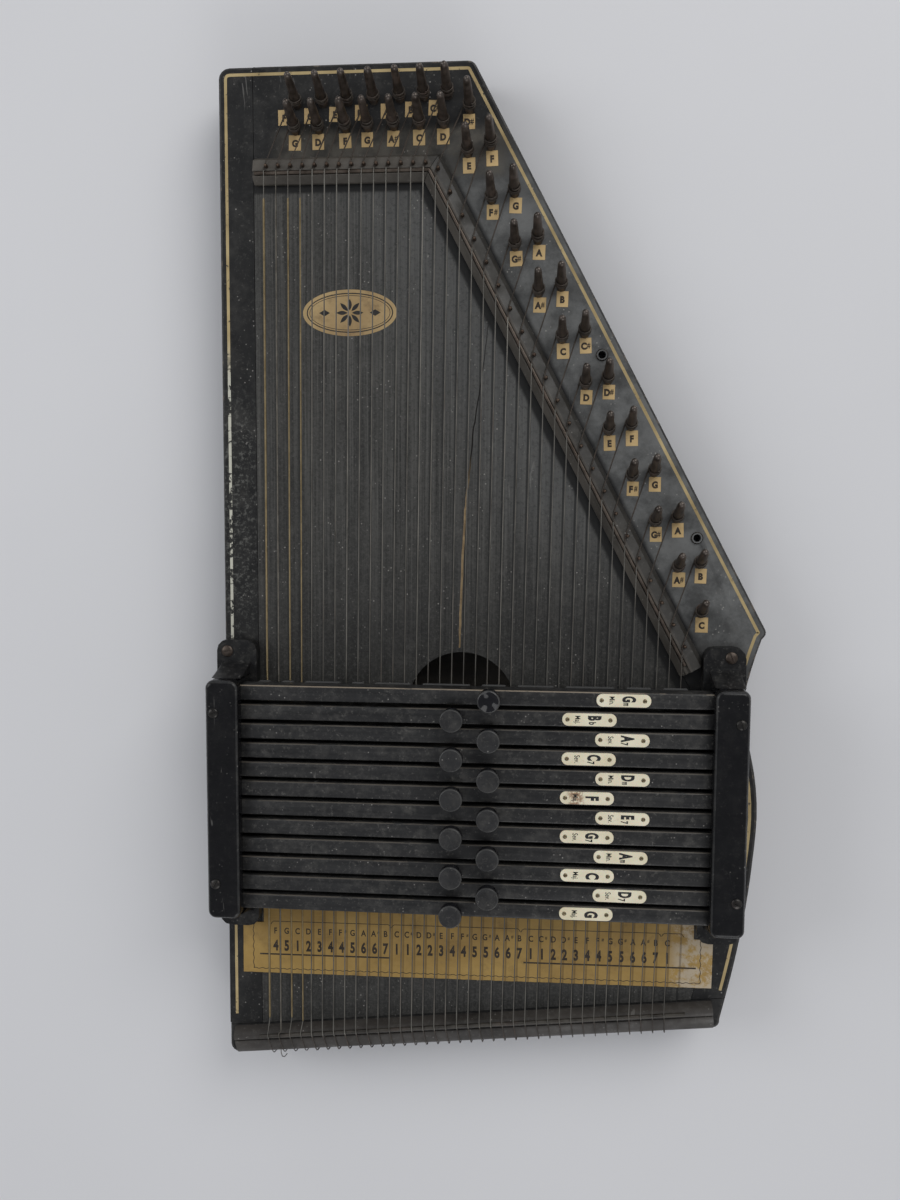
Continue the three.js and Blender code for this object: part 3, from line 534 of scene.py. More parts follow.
ROD = metal("nut_rod_steel", (0.055, 0.042, 0.033), (0.15, 0.125, 0.104), (0.35, 0.6), 0.5, 150, (0.3, 0.9))
TAIL_ROD = metal("tail_rod_steel", (0.03, 0.027, 0.024), (0.1, 0.092, 0.08), (0.4, 0.65), 0.3, 110,
                 (0.2, 0.7))
PLATE = metal("hitch_plate_steel", (0.03, 0.027, 0.024), (0.08, 0.072, 0.063), (0.35, 0.6), 0.5, 120)
SCREW = metal("screw_steel", (0.05, 0.038, 0.03), (0.12, 0.096, 0.08), (0.3, 0.55), 0.45, 300, (0.3, 0.8))
BLACK_SCREW = metal("blackened_screw", (0.014, 0.013, 0.013), (0.05, 0.047, 0.043), (0.24, 0.45), 0.2, 300,
                    (0.2, 0.7))
SPRING = metal("spring_steel", (0.3, 0.29, 0.27), (0.5, 0.49, 0.46), (0.25, 0.4), 0.15, 300)
COVER = plastic("cover_plastic", (0.003, 0.003, 0.0038), (0.0062, 0.0062, 0.0072), (0.16, 0.34), 0.06, 0.16)
HOLDER = plastic("holder_plastic", (0.0075, 0.0075, 0.008), (0.016, 0.016, 0.0163), (0.28, 0.5), 0.36, 0.3)
BUTTON = plastic("button_plastic", (0.018, 0.018, 0.0187), (0.038, 0.038, 0.0387), (0.24, 0.44), 0.3, 0.4)
# A dark gloss plastic: the first button's own, and painted shade on the other buttons' sides.
GLOSS = plastic("dark_gloss_plastic", (0.006, 0.006, 0.008), (0.011, 0.011, 0.014), (0.08, 0.2), 0.05, 0.2)
BAR, BAR_EDGE, IVORY, GOLD, FELT, RUBBER = bar_paint(), bar_edge(), ivory(), gold(), felt(), rubber()
# A painted highlight for the lids' rounded top edge.
LID_HIGHLIGHT = plastic("lid_edge_highlight", (0.014, 0.014, 0.0145), (0.04, 0.04, 0.0405), (0.22, 0.42), 0.3, 0.5)
# A painted highlight for the buttons' rims.
RIM = plastic("button_rim", (0.03, 0.03, 0.0303), (0.085, 0.084, 0.082), (0.22, 0.42), 0.3, 0.3)
COIL = metal("coil_steel", (0.032, 0.026, 0.021), (0.09, 0.075, 0.062), (0.4, 0.65), 0.5, 200, (0.2, 0.6))
RIVET = metal("rivet_brass", (0.1, 0.078, 0.048), (0.3, 0.245, 0.15), (0.3, 0.5), 0.4, 500, (0.4, 0.9))
STAINED = ivory("stained_ivory", P(198, 0))
TAG_INK = ink("tag_ink", (0.009, 0.009, 0.01), (0.07, 0.063, 0.05), 0.25)
PAPER_INK = ink("scale_ink", (0.02, 0.013, 0.008), (0.12, 0.08, 0.04), 0.4)
SCALE = paper("scale_paper", (0.46, 0.3, 0.088), (0.29, 0.175, 0.045), (0.12, 0.072, 0.026), 0.45,
              (x_at(257), 0.008), 0.5)
LABEL = paper("label_paper", (0.64, 0.46, 0.225), (0.48, 0.33, 0.145), (0.2, 0.12, 0.05), 0.4)
OVAL = paper("oval_tan", (0.52, 0.375, 0.18), (0.33, 0.22, 0.1), (0.12, 0.072, 0.036), 0.7)


# ------------------------------------------------------------------ mesh helpers
def piece(name, verts, faces, materials, body="case", smooth=None, which=None):
    """A mesh object on a body. smooth: the crease angle in degrees; which: the material of each face."""
    data = bpy.data.meshes.new(name)
    data.from_pydata([tuple(v) for v in verts], [], faces)
    for m in materials if isinstance(materials, (list, tuple)) else [materials]:
        data.materials.append(m)
    if which:
        data.polygons.foreach_set("material_index", which)
    return _place(bpy.data.objects.new(name, data), body, smooth)


def _place(obj, body, smooth):
    bpy.context.scene.collection.objects.link(obj)
    if smooth is not None:
        obj.data.shade_smooth()
        obj.data.set_sharp_from_angle(angle=math.radians(smooth))
    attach(obj, body)
    return obj


class Build:
    """Gathers closed shells into one mesh."""

    def __init__(self):
        self.verts, self.faces, self.which = [], [], []

    def add(self, verts, faces, material=0):
        n = len(self.verts)
        self.verts += [Vector(v) for v in verts]
        self.faces += [[n + i for i in f] for f in faces]
        self.which += [material] * len(faces)
        return self

    def rings(self, rings, material=0, closed_ends=True, loop=False):
        """Joins rings of points, all with the same count, into a skin."""
        k, n = len(rings[0]), len(rings)
        verts = [v for ring in rings for v in ring]
        faces = []
        for r in range(n if loop else n - 1):
            a, b = r * k, ((r + 1) % n) * k
            faces += [(a + i, a + (i + 1) % k, b + (i + 1) % k, b + i) for i in range(k)]
        if closed_ends and not loop:
            faces += [tuple(reversed(range(k))), tuple(range((n - 1) * k, n * k))]
        return self.add(verts, faces, material)

    def tube(self, points, radius, sides=8, material=0, loop=False):
        """A wire through the points. radius may be one number or one for each point."""
        points = [Vector(p) for p in points]
        n = len(points)
        radii = radius if isinstance(radius, list) else [radius] * n
        rings, side = [], None
        for i, p in enumerate(points):
            a = points[(i - 1) % n] if (i or loop) else p
            b = points[(i + 1) % n] if (i < n - 1 or loop) else p
            t = (b - a).normalized()
            if side is None:
                side = t.cross(Vector((0, 0, 1)) if abs(t.z) < 0.9 else Vector((1, 0, 0))).normalized()
            side = (side - t * side.dot(t)).normalized()
            up = t.cross(side)
            r = radii[i]
            rings.append(
                [p + r * (math.cos(q) * side + math.sin(q) * up) for q in _turn(sides)]
            )
        return self.rings(rings, material, True, loop)

    def lathe(self, profile, centre, sides, axis=(0, 0, 1), material=0, ends=True):
        """Turns [(radius, height)] in mm about an axis through the centre, from the bottom up."""
        axis = Vector(axis).normalized()
        u = Vector((1, 0, 0)) if abs(axis.x) < 0.9 else Vector((0, 1, 0))
        u = (u - axis * u.dot(axis)).normalized()
        v = axis.cross(u)
        rings = [
            [centre + r * MM * (math.cos(q) * u + math.sin(q) * v) + h * MM * axis for q in _turn(sides)]
            for r, h in profile
        ]
        return self.rings(rings, material, ends)

    def prism(self, outline, low, high, material=0):
        """An outline of (x, y) in mm between two heights in mm."""
        n = len(outline)
        verts = [P(x, y, low) for x, y in outline] + [P(x, y, high) for x, y in outline]
        faces = [tuple(reversed(range(n))), tuple(range(n, 2 * n))]
        faces += [(i, (i + 1) % n, n + (i + 1) % n, n + i) for i in range(n)]
        return self.add(verts, faces, material)

    def pillow(self, outline, low, high, edge, material=0, steps=3, both=False):
        """A prism whose top edge is rounded over by edge mm, and its bottom edge too if both."""
        rings = []
        if both:
            for k in range(steps):
                a = math.pi / 2 * k / steps
                rings.append((edge * (1 - math.sin(a)), low + edge * (1 - math.cos(a))))
            rings.append((0, low + edge))
        else:
            rings.append((0, low))
        for k in range(steps + 1):
            a = math.pi / 2 * k / steps
            rings.append((edge * (1 - math.cos(a)), high - edge * (1 - math.sin(a))))
        return self.rings([[P(x, y, h) for x, y in inset(outline, d)] for d, h in rings], material)

    def letters(self, text, x, y, size, height, turn=0.0, width=1.0, weight=0.02, material=0):
        """Flat printed letters centred at (x, y) in mm; size is the height of a capital."""
        verts, faces = glyphs(text, weight)
        c, s = math.cos(turn), math.sin(turn)
        out = []
        for vx, vy, vz in verts:
            vx, vy = vx * size * width, vy * size
            out.append(P(x + c * vx - s * vy, y + s * vx + c * vy, height + vz))
        return self.add(out, faces, material)

    def paint(self, material, test):
        """Gives a material to the faces whose centre passes the test."""
        for f, face in enumerate(self.faces):
            if test(sum((self.verts[k] for k in face), Vector()) / len(face)):
                self.which[f] = material

    def finish(self, name, materials, body="case", slot=None, smooth=None):
        return piece(name, self.verts, self.faces, materials, body, smooth, self.which)


def _turn(sides):
    return [2 * math.pi * k / sides for k in range(sides)]


def inset(outline, d):
    """The outline, drawn anticlockwise, moved inwards by d."""
    if not d:
        return list(outline)
    out, n = [], len(outline)
    for i, (x, y) in enumerate(outline):
        ax, ay = outline[i - 1]
        bx, by = outline[(i + 1) % n]
        u = Vector((x - ax, y - ay)).normalized()
        v = Vector((bx - x, by - y)).normalized()
        m = Vector((-u.y - v.y, u.x + v.x))
        m = m.normalized() if m.length > 1e-6 else Vector((-u.y, u.x))
        cosine = max(0.35, m.dot(Vector((-u.y, u.x))))
        out.append((x + m.x * d / cosine, y + m.y * d / cosine))
    return out


def rounded_box(x0, x1, y0, y1, radius, steps=6):
    out = []
    for cx, cy, a in (
        (x1 - radius, y0 + radius, -90),
        (x1 - radius, y1 - radius, 0),
        (x0 + radius, y1 - radius, 90),
        (x0 + radius, y0 + radius, 180),
    ):
        for k in range(steps + 1):
            q = math.radians(a + 90 * k / steps)
            out.append((cx + radius * math.cos(q), cy + radius * math.sin(q)))
    return out


GLYPHS = {}


def glyphs(text, weight):
    """Vertices and faces of a centred text whose capitals are 1 high and 0.03 mm thick."""
    key = (text, weight)
    if key not in GLYPHS:
        curve = bpy.data.curves.new("letters", "FONT")
        curve.body, curve.size, curve.offset, curve.resolution_u = text, 1.4, weight, 4
        curve.extrude = 0.015
        holder = bpy.data.objects.new("letters", curve)
        bpy.context.scene.collection.objects.link(holder)
        bpy.context.view_layer.update()
        made = bpy.data.meshes.new_from_object(holder.evaluated_get(bpy.context.evaluated_depsgraph_get()))
        verts = [tuple(v.co) for v in made.vertices]
        faces = [tuple(p.vertices) for p in made.polygons]
        bpy.data.objects.remove(holder)
        bpy.data.meshes.remove(made)
        bpy.data.curves.remove(curve)
        mid_x = (min(v[0] for v in verts) + max(v[0] for v in verts)) / 2
        GLYPHS[key] = [(x - mid_x, y - 0.5, z) for x, y, z in verts], faces
    return GLYPHS[key]


def from_cad(node):
    """A welded copy of a CAD node, free to be worked on, as a bmesh."""
    bm = bmesh.new()
    bm.from_mesh(NODES[node].data)
    bmesh.ops.remove_doubles(bm, verts=bm.verts, dist=2e-6)
    bmesh.ops.dissolve_limit(bm, angle_limit=math.radians(0.6), verts=bm.verts, edges=bm.edges)
    return bm


def soften(obj, width, steps=2, angle=30):
    """Rounds an object's sharp edges by a width in mm."""
    bevel = obj.modifiers.new("round", "BEVEL")
    bevel.width, bevel.segments, bevel.limit_method = width * MM, steps, "ANGLE"
    bevel.angle_limit = math.radians(angle)
    return obj


def dress(node, materials, width=0.0, steps=2, angle=30):
    """A CAD node that stays, with its materials and rounded edges."""
    obj = NODES[node]
    obj.data.materials.clear()
    for m in materials:
        obj.data.materials.append(m)
    if width:
        weld = obj.modifiers.new("weld", "WELD")
        weld.merge_threshold = 2e-6
        soften(obj, width, steps, angle)
    return obj


def from_bmesh(name, bm, materials, body="case", smooth=None):
    data = bpy.data.meshes.new(name)
    bm.to_mesh(data)
    bm.free()
    for m in materials:
        data.materials.append(m)
    return _place(bpy.data.objects.new(name, data), body, smooth)


def carve(obj, *tools):
    """Cuts the tools out of an object, and removes them."""
    for tool in tools:
        cut = obj.modifiers.new("cut", "BOOLEAN")
        cut.operation, cut.object, cut.solver = "DIFFERENCE", tool, "EXACT"
    bpy.context.view_layer.update()
    made = bpy.data.meshes.new_from_object(obj.evaluated_get(bpy.context.evaluated_depsgraph_get()))
    obj.modifiers.clear()
    obj.data = made
    for tool in tools:
        bpy.data.objects.remove(tool)
    return obj


# ------------------------------------------------------------------ case
def panel_outline():
    """The case's outline in mm, anticlockwise, read from the back panel's upper face."""
    bm = from_cad("back_panel")
    top = max(bm.faces, key=lambda f: f.calc_area() * f.normal.z)
    points = [((v.co.x - LEFT) / MM, (v.co.y - TOP_Y) / MM + LENGTH) for v in (l.vert for l in top.loops)]
    bm.free()
    return points


OUTLINE = panel_outline()


def to_outline(x, y):
    """Distance in mm from a point to the case's outline."""
    best = 1e9
    for i, (ax, ay) in enumerate(OUTLINE):
        bx, by = OUTLINE[(i + 1) % len(OUTLINE)]
        d = Vector((bx - ax, by - ay))
        t = max(0, min(1, ((x - ax) * d.x + (y - ay) * d.y) / max(d.length_squared, 1e-9)))
        best = min(best, math.hypot(x - ax - t * d.x, y - ay - t * d.y))
    return best


def case_piece(node, materials, width):
    """A case part whose outer edges, along the case's outline, are rounded and worn."""
    bm = from_cad(node)
    weight = bm.edges.layers.float.new("bevel_weight_edge")
    for e in bm.edges:
        if len(e.link_faces) != 2:
            continue
        a, b = (v.co for v in e.verts)
        flat = max(abs(f.normal.z) for f in e.link_faces)
        upright = min(abs(f.normal.z) for f in e.link_faces)
        if abs(a.z - b.z) < 1e-5 and flat > 0.9 and upright < 0.1:
            m = (a + b) / 2
            if to_outline((m.x - LEFT) / MM, (m.y - TOP_Y) / MM + LENGTH) < 0.05:
                e[weight] = 1.0
    obj = from_bmesh(node + "_shell", bm, materials)
    bevel = obj.modifiers.new("round", "BEVEL")
    bevel.width, bevel.segments, bevel.limit_method = width * MM, 3, "WEIGHT"
    bevel.material = 1
    obj.data.shade_smooth()
    obj.data.set_sharp_from_angle(angle=math.radians(28))
    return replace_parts(obj, node)


for node in ("bass_rail", "treble_rail", "pin_block", "tail_block"):
    case_piece(node, [LACQUER, EDGE], 1.5)
case_piece("back_panel", [LACQUER, EDGE], 0.9)
for node in ("brace_upper", "brace_lower"):
    dress(node, [WOOD], 0.5)

inside = Build()
inside.prism(rounded_box(30, 262, 30, 300, 6), 7.2 - DECK / MM - 0.25, 7.2 - DECK / MM - 0.05)
inside.finish("back_panel_lining", [DIM_WOOD], slot="bare_wood")


def sound_board():
    """The soundboard with its round hole and the long split beside the middle."""
    bm = from_cad("soundboard")
    low, high = (f(v.co.z for v in bm.verts) for f in (min, max))
    hole = P(134.6, 209.2)
    rim = [e for e in bm.edges if min(v.co.z for v in e.verts) > high - 1e-5]
    rim = [e for e in rim if min(abs(f.normal.z) for f in e.link_faces) < 0.1]
    rim = [e for e in rim if max((v.co.xy - hole.xy).length for v in e.verts) > 0.0305]
    at, edge = rim[0].verts[0], rim[0]
    outer = [at.co.copy()]
    for _ in rim[1:]:
        at = edge.other_vert(at)
        outer.append(at.co.copy())
        edge = next(e for e in rim if at in e.verts and e is not edge)
    bm.free()
    n, m = len(outer), 128
    ring = [hole.xy + 0.03 * Vector((math.cos(a), math.sin(a))) for a in _turn(m)]
    data = bmesh.new()
    layers = []
    for z in (low, high):
        vo = [data.verts.new((p.x, p.y, z)) for p in outer]
        vi = [data.verts.new((p.x, p.y, z)) for p in ring]
        eo = [data.edges.new((vo[i], vo[(i + 1) % n])) for i in range(n)]
        ei = [data.edges.new((vi[i], vi[(i + 1) % m])) for i in range(m)]
        bmesh.ops.triangle_fill(data, edges=eo + ei, use_beauty=True)
        layers.append((vo, vi))
    for k in (0, 1):
        a, b = layers[0][k], layers[1][k]
        for i in range(len(a)):
            j = (i + 1) % len(a)
            data.faces.new((a[i], a[j], b[j], b[i]))
    bmesh.ops.recalc_face_normals(data, faces=data.faces)
    obj = from_bmesh("soundboard_face", data, [BOARD, CRACK])
    # The split is a thin zigzag wedge cut out of the face.
    rnd = random.Random(7)
    path = [(147.9, 418), (144.5, 388.2), (140.2, 362.2), (138, 337.9)]
    path += [(135.9, 317.5), (134.6, 286.7), (133.5, 255.6), (133.2, 241.6)]
    line = []
    for (ax, ay), (bx, by) in zip(path, path[1:]):
        for k in range(7):
            t = k / 7
            line.append((ax + (bx - ax) * t + rnd.uniform(-0.22, 0.22), ay + (by - ay) * t))
    line.append(path[-1])
    wedge = Build()
    rings = []
    for k, (x, y) in enumerate(line):
        open_ = 0.14 + 0.52 * min(1, k / 34) * (1 if k < len(line) - 4 else 0.6)
        rings.append([P(x - 1.5 * open_, y, 0.5), P(x, y, -0.75), P(x + 1.5 * open_, y, 0.5)])
    wedge.rings(rings, 1)
    tool = wedge.finish("split_tool", [BOARD, CRACK])
    bm = bmesh.new()
    bm.from_mesh(tool.data)
    bmesh.ops.recalc_face_normals(bm, faces=bm.faces)
    bm.to_mesh(tool.data)
    bm.free()
    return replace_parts(carve(obj, tool), "soundboard")


sound_board()


def gold_line():
    n = len(OUTLINE)
    lines = [inset(OUTLINE, 3.3), inset(OUTLINE, 4.9)]
    fine = [[], []]
    for i in range(n):
        a, b = OUTLINE[i], OUTLINE[(i + 1) % n]
        steps = max(1, int(math.dist(a, b) / 6))
        for k in range(steps):
            t = k / steps
            for side in (0, 1):
                p, q = lines[side][i], lines[side][(i + 1) % n]
                fine[side].append((p[0] + (q[0] - p[0]) * t, p[1] + (q[1] - p[1]) * t))
    keep = [i for i in range(len(fine[0])) if not below_line(fine[0][i])]
    # Start just after the gap at the tail.
    start = next(i for i in keep if (i - 1) % len(fine[0]) not in keep)
    order = [(start + k) % len(fine[0]) for k in range(len(keep))]
    rings = []
    for i in order:
        (ax, ay), (bx, by) = fine[0][i], fine[1][i]
        w = 0.06 * noise.noise(Vector((ax * 0.3, ay * 0.3, 0)))
        rings.append([P(ax, ay, -0.3), P(bx, by, -0.3), P(bx + w, by, 0.05), P(ax - w, ay, 0.05)])
    return Build().rings(rings).finish("gold_line", [GOLD])


def below_line(p):
    return p[1] < 21 if p[0] < 100 else p[1] < 46.5 if p[0] > 200 and p[1] < 100 else p[1] < 60


gold_line()

# ------------------------------------------------------------------ nut, tail bridge, hitch plate
for node in ("nut_strip_top", "nut_strip_diagonal"):
    dress(node, [NUT], 0.5, 2, 20)


def tail_bridge():
    """A ridge that carries the tail rod, and the rounded end cap below it."""
    ridge = [(9.9, 0.2), (16.3, 0.2), (16.1, 1.2), (15.5, 3.0), (14.7, 4.8), (14.0, 5.7)]
    ridge += [(13.2, 6.4), (12.2, 6.5), (11.0, 6.3), (10.1, 5.8), (9.9, 5.4)]
    cap = [(0.6, 0.2), (9.3, 0.2), (9.3, 4.9), (9.0, 5.25), (8.4, 5.3), (6.4, 4.8)]
    cap += [(4.2, 3.8), (2.4, 2.6), (1.2, 1.5), (0.6, 0.7)]
    for name, section in (("tail_ridge", ridge), ("tail_cap", cap)):
        rings = []
        for k in range(61):
            x = 5 + 272.5 * k / 60
            wear = 0.12 * noise.noise(Vector((x * 0.35, 3.0, 0)))
            rings.append([P(*from_tail(x, d), h + (wear if h > 3 else 0)) for d, h in section])
        obj = Build().rings(rings).finish(name, [TAIL], smooth=32)
        if name == "tail_ridge":
            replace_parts(obj, "tail_bridge")


tail_bridge()


def smooth_rod(name, points, radius, material, slot, *nodes):
    obj = Build().tube(points, radius * MM, 16).finish(name, [material], slot=slot, smooth=40)
    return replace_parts(obj, *nodes) if nodes else obj


knee_x = KNEE[0] + ROD_AWAY / (1 + NUT_SIN) * NUT_COS
knee = (knee_x, NUT_EDGE_Y + ROD_AWAY)
smooth_rod(
    "nut_wire",
    [P(21.5, knee[1], 7), P(knee[0] - 1.2, knee[1], 7), P(knee[0], knee[1] - 0.1, 7)]
    + [P(knee[0] + 0.8, knee[1] - 1.3, 7), P(knee[0] + 298 * NUT_ALONG.x, knee[1] + 298 * NUT_ALONG.y, 7)],
    1.0,
    ROD,
    "nut_rod",
    "nut_rod",
)
smooth_rod(
    "tail_rod",
    [P(*from_tail(x, TAIL_ROD_IN), 7.9) for x in (21, 262)],
    1.1,
    TAIL_ROD,
    "string_wire",
    "string_band",
)


def hitch():
    plate = Build()
    outline = [(-1.4, -16), (-0.3, -16), (-0.3, -4), (-1.4, -4)]
    rings = []
    for k in range(41):
        x = 12 + 258 * k / 40
        rings.append([P(*from_tail(x, d), h) for d, h in outline])
    plate.rings(rings)
    for i in range(STRINGS):
        x = FIRST_STRING_X + STRING_PITCH * i
        base = P(*from_tail(x, -1.2), -10)
        out = Vector((-TAIL_IN.x, -TAIL_IN.y, 0))
        profile = [(0.9, 0), (0.9, 1.5), (1.2, 1.75), (1.2, 2.1), (0.8, 2.35), (0.05, 2.4)]
        plate.lathe(profile, base, 14, out)
    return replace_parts(plate.finish("hitch_strip", [PLATE], slot="hitch_plate", smooth=35), "hitch_plate")


hitch()


# ------------------------------------------------------------------ tuning pins, strings
def pin_axis():
    return Vector((0, math.sin(PIN_LEAN), math.cos(PIN_LEAN)))


# Height, radius and how square it is, from the foot of a tuning pin to its tip.
PIN_SHAPE = [(-1.2, 2.65, 0), (1.0, 2.65, 0), (6.5, 2.62, 0), (9.5, 2.56, 0), (11.5, 2.5, 0.3)]
PIN_SHAPE += [(13.0, 2.44, 0.55), (17.0, 2.3, 0.7), (21.0, 2.12, 0.75), (22.4, 2.0, 0.6)]
PIN_SHAPE += [(23.5, 1.72, 0.35), (24.25, 1.25, 0.1), (24.75, 0.6, 0)]


def pins():
    """Tuning pins: round and threaded at the foot, squared towards a small domed tip."""
    axis = pin_axis()
    u, v = Vector((1, 0, 0)), Vector((0, math.cos(PIN_LEAN), -math.sin(PIN_LEAN)))
    made = []
    for i, (x, y) in enumerate(PINS):
        rnd = random.Random(100 + i)
        spin = rnd.uniform(0, math.pi / 2)
        b = Build()
        rings = []
        for h, r, square in PIN_SHAPE:
            ring = []
            for q in _turn(24):
                c, s = math.cos(q), math.sin(q)
                flat = r / max(abs(c), abs(s)) * 0.86
                reach = r * (1 - square) + min(r, flat) * square
                a = q + spin
                ring.append(P(x, y) + MM * (h * axis + reach * (math.cos(a) * u + math.sin(a) * v)))
            rings.append(ring)
        b.rings(rings)
        # The tips are rubbed bright by the tuning key, and painted lighter still as a highlight.
        b.paint(1, lambda centre: (centre - P(x, y)).dot(axis) > 0.0231 + rnd.uniform(0, 0.0006))
        made.append(b.finish(f"tuning_pin_{i + 1:02d}", [PIN, TIP], slot="tuning_pins", smooth=40))
    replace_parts(made[0], "tuning_pins_top")
    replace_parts(made[LAST_TOP_PIN + 1], "tuning_pins_slant")


pins()

CORE = 0.26  # radius of the core of a wound string, mm
NEW_STRINGS = (7, 13, 20)
COIL_STEPS = 14  # points in one turn of the wire round its pin
# Radius in mm and material of the windings on the bass strings; the rest are plain steel.
WOUND = {0: (0.62, BRASS), 1: (0.46, GREY_WOUND), 2: (0.5, BRASS), 3: (0.44, BRASS)}
# Where each winding begins, in mm in from the tail edge.
WINDING_END = [24.5, 16, 24.0, 21.5]


def wire_radius(i):
    """The radius in mm of string i, with its winding if it has one."""
    return WOUND[i][0] if i in WOUND else 0.38 - 0.0035 * i


def strings():
    axis = pin_axis()
    u, v = Vector((1, 0, 0)), Vector((0, math.cos(PIN_LEAN), -math.sin(PIN_LEAN)))
    for i in range(STRINGS):
        tail = FIRST_STRING_X + STRING_PITCH * i
        plain = PALE_STEEL if i in NEW_STRINGS else STEEL
        thick, material = wire_radius(i), WOUND[i][1] if i in WOUND else plain
        thin = CORE if i in WOUND else thick
        b = Build()
        # The eye round the hitch pin, then the wire up over the tail.
        eye = [P(*from_tail(tail + 1.25 * math.sin(q), -2.1), -10 + 1.25 * math.cos(q)) for q in _turn(14)]
        b.tube(eye, thin * MM, 6, 1, True)
        eye_faces = len(b.faces)
        foot = [(-2.1, -8.7), (-1.95, -6), (-1.7, -3.2), (-1.1, -0.4)]
        foot += [(-0.4, 1.2), (0.5, 2.2), (1.6, 3.2), (6.0, 5.95)]
        top = TAIL_ROD_TOP + thin
        path = [P(*from_tail(tail, d), h) for d, h in foot]
        for d, drop in ((TAIL_ROD_IN - 1.1, 0.35), (TAIL_ROD_IN, 0), (14.2, 0)):
            path.append(P(*from_tail(tail, d), top - drop))
        if i in WOUND:
            x, y = from_tail(tail, WINDING_END[i])
            path += [P(string_x(i, y), y, top), P(string_x(i, y + 1.2), y + 1.2, top)]
        radii = [thin * MM] * (len(path) - (1 if i in WOUND else 0)) + ([thick * MM] if i in WOUND else [])
        rod_x, rod_y = on_nut(i, ROD_AWAY)
        high = NUT_ROD_TOP + thin
        guide_x, guide_y = on_nut(i, GUIDE_AWAY)
        post = Vector(PINS[i])
        run = [P(*on_nut(i, -9), high + 0.02)]
        if i in WOUND:
            run.append(P(*on_nut(i, -8.2), high + 0.01))
        run += [P(*on_nut(i, 3.6), high), P(rod_x, rod_y, high), P(*on_nut(i, 6.0), high - 0.25)]
        run.append(P(guide_x + 0.1, guide_y, high - 1.0))
        path += run
        bend = len(path)
        radii += [thick * MM] + [thin * MM] * (len(run) - 1)
        # The coil: the wire meets the pin on its bass side and climbs it.
        start = P(post.x, post.y) + axis * 2.6 * MM
        d = start - path[-1]
        theta = math.atan2(d.dot(u), -d.dot(v))
        wire = max(thin, 0.44)
        reach = (2.68 + wire) * MM
        turns = 4.2 + 0.6 * math.sin(1.7 * i)
        for k in range(int(turns * COIL_STEPS) + 1):
            q = theta - 2 * math.pi * k / COIL_STEPS
            rise = (1.0 + 0.22 * math.sin(2.9 * i + k * 0.11)) * MM * k / COIL_STEPS
            path.append(start + axis * rise + reach * (math.cos(q) * u + math.sin(q) * v))
            radii.append(wire * MM)
        q = theta - 2 * math.pi * (int(turns * COIL_STEPS) + 2) / COIL_STEPS
        path.append(start + axis * (rise + 0.0004) + 0.4 * reach * (math.cos(q) * u + math.sin(q) * v))
        radii.append(thin * MM)
        b.tube(path, radii, 8, 0)
        # Which stretch is wound and which is bare core.
        if i in WOUND:
            low, high_y = P(*from_tail(tail, WINDING_END[i] + 0.5)).y, P(*on_nut(i, -8.6)).y
            for f, face in enumerate(b.faces):
                y = sum(b.verts[k].y for k in face) / len(face)
                if not low < y < high_y:
                    b.which[f] = 1
        # Past the nut, and down over the tail, it is dark with grime.
        dirty = P(*from_tail(tail, 11.0)).y
        for f, face in enumerate(b.faces):
            if sum(b.verts[k].y for k in face) / len(face) < dirty:
                b.which[f] = 2
        for f in range(eye_faces + 8 * (bend - 2), len(b.faces)):
            b.which[f] = 2
        core = GREY_WOUND if i == 1 else plain
        b.finish(f"string_{i + 1:02d}", [material, core, COIL], slot="string_wire", smooth=60)


strings()


def loose_end():
    """The second string is a replacement whose end hangs loose past the tail."""
    path = [P(31.4, 6.6, 5.6), P(31.0, 3.2, 3.6), P(31.3, 0.4, 2.4), P(32.2, -0.9, 0.2), P(32.6, -1.3, -4.0)]
    Build().tube(path, CORE * MM, 8).finish("loose_string_end", [STEEL], slot="string_wire", smooth=60)


loose_end()


def guide_pins():
    b = Build()
    for i in range(STRINGS):
        x, y = on_nut(i, GUIDE_AWAY)
        x += 0.35 + 0.95
        profile = [(0.95, 3.0), (0.95, 9.3), (0.82, 9.8), (0.45, 10.1), (0.02, 10.15)]
        b.lathe(profile, P(x, y), 12)
    b.finish("guide_pins", [GUIDE], slot="nut_rod", smooth=40)


guide_pins()


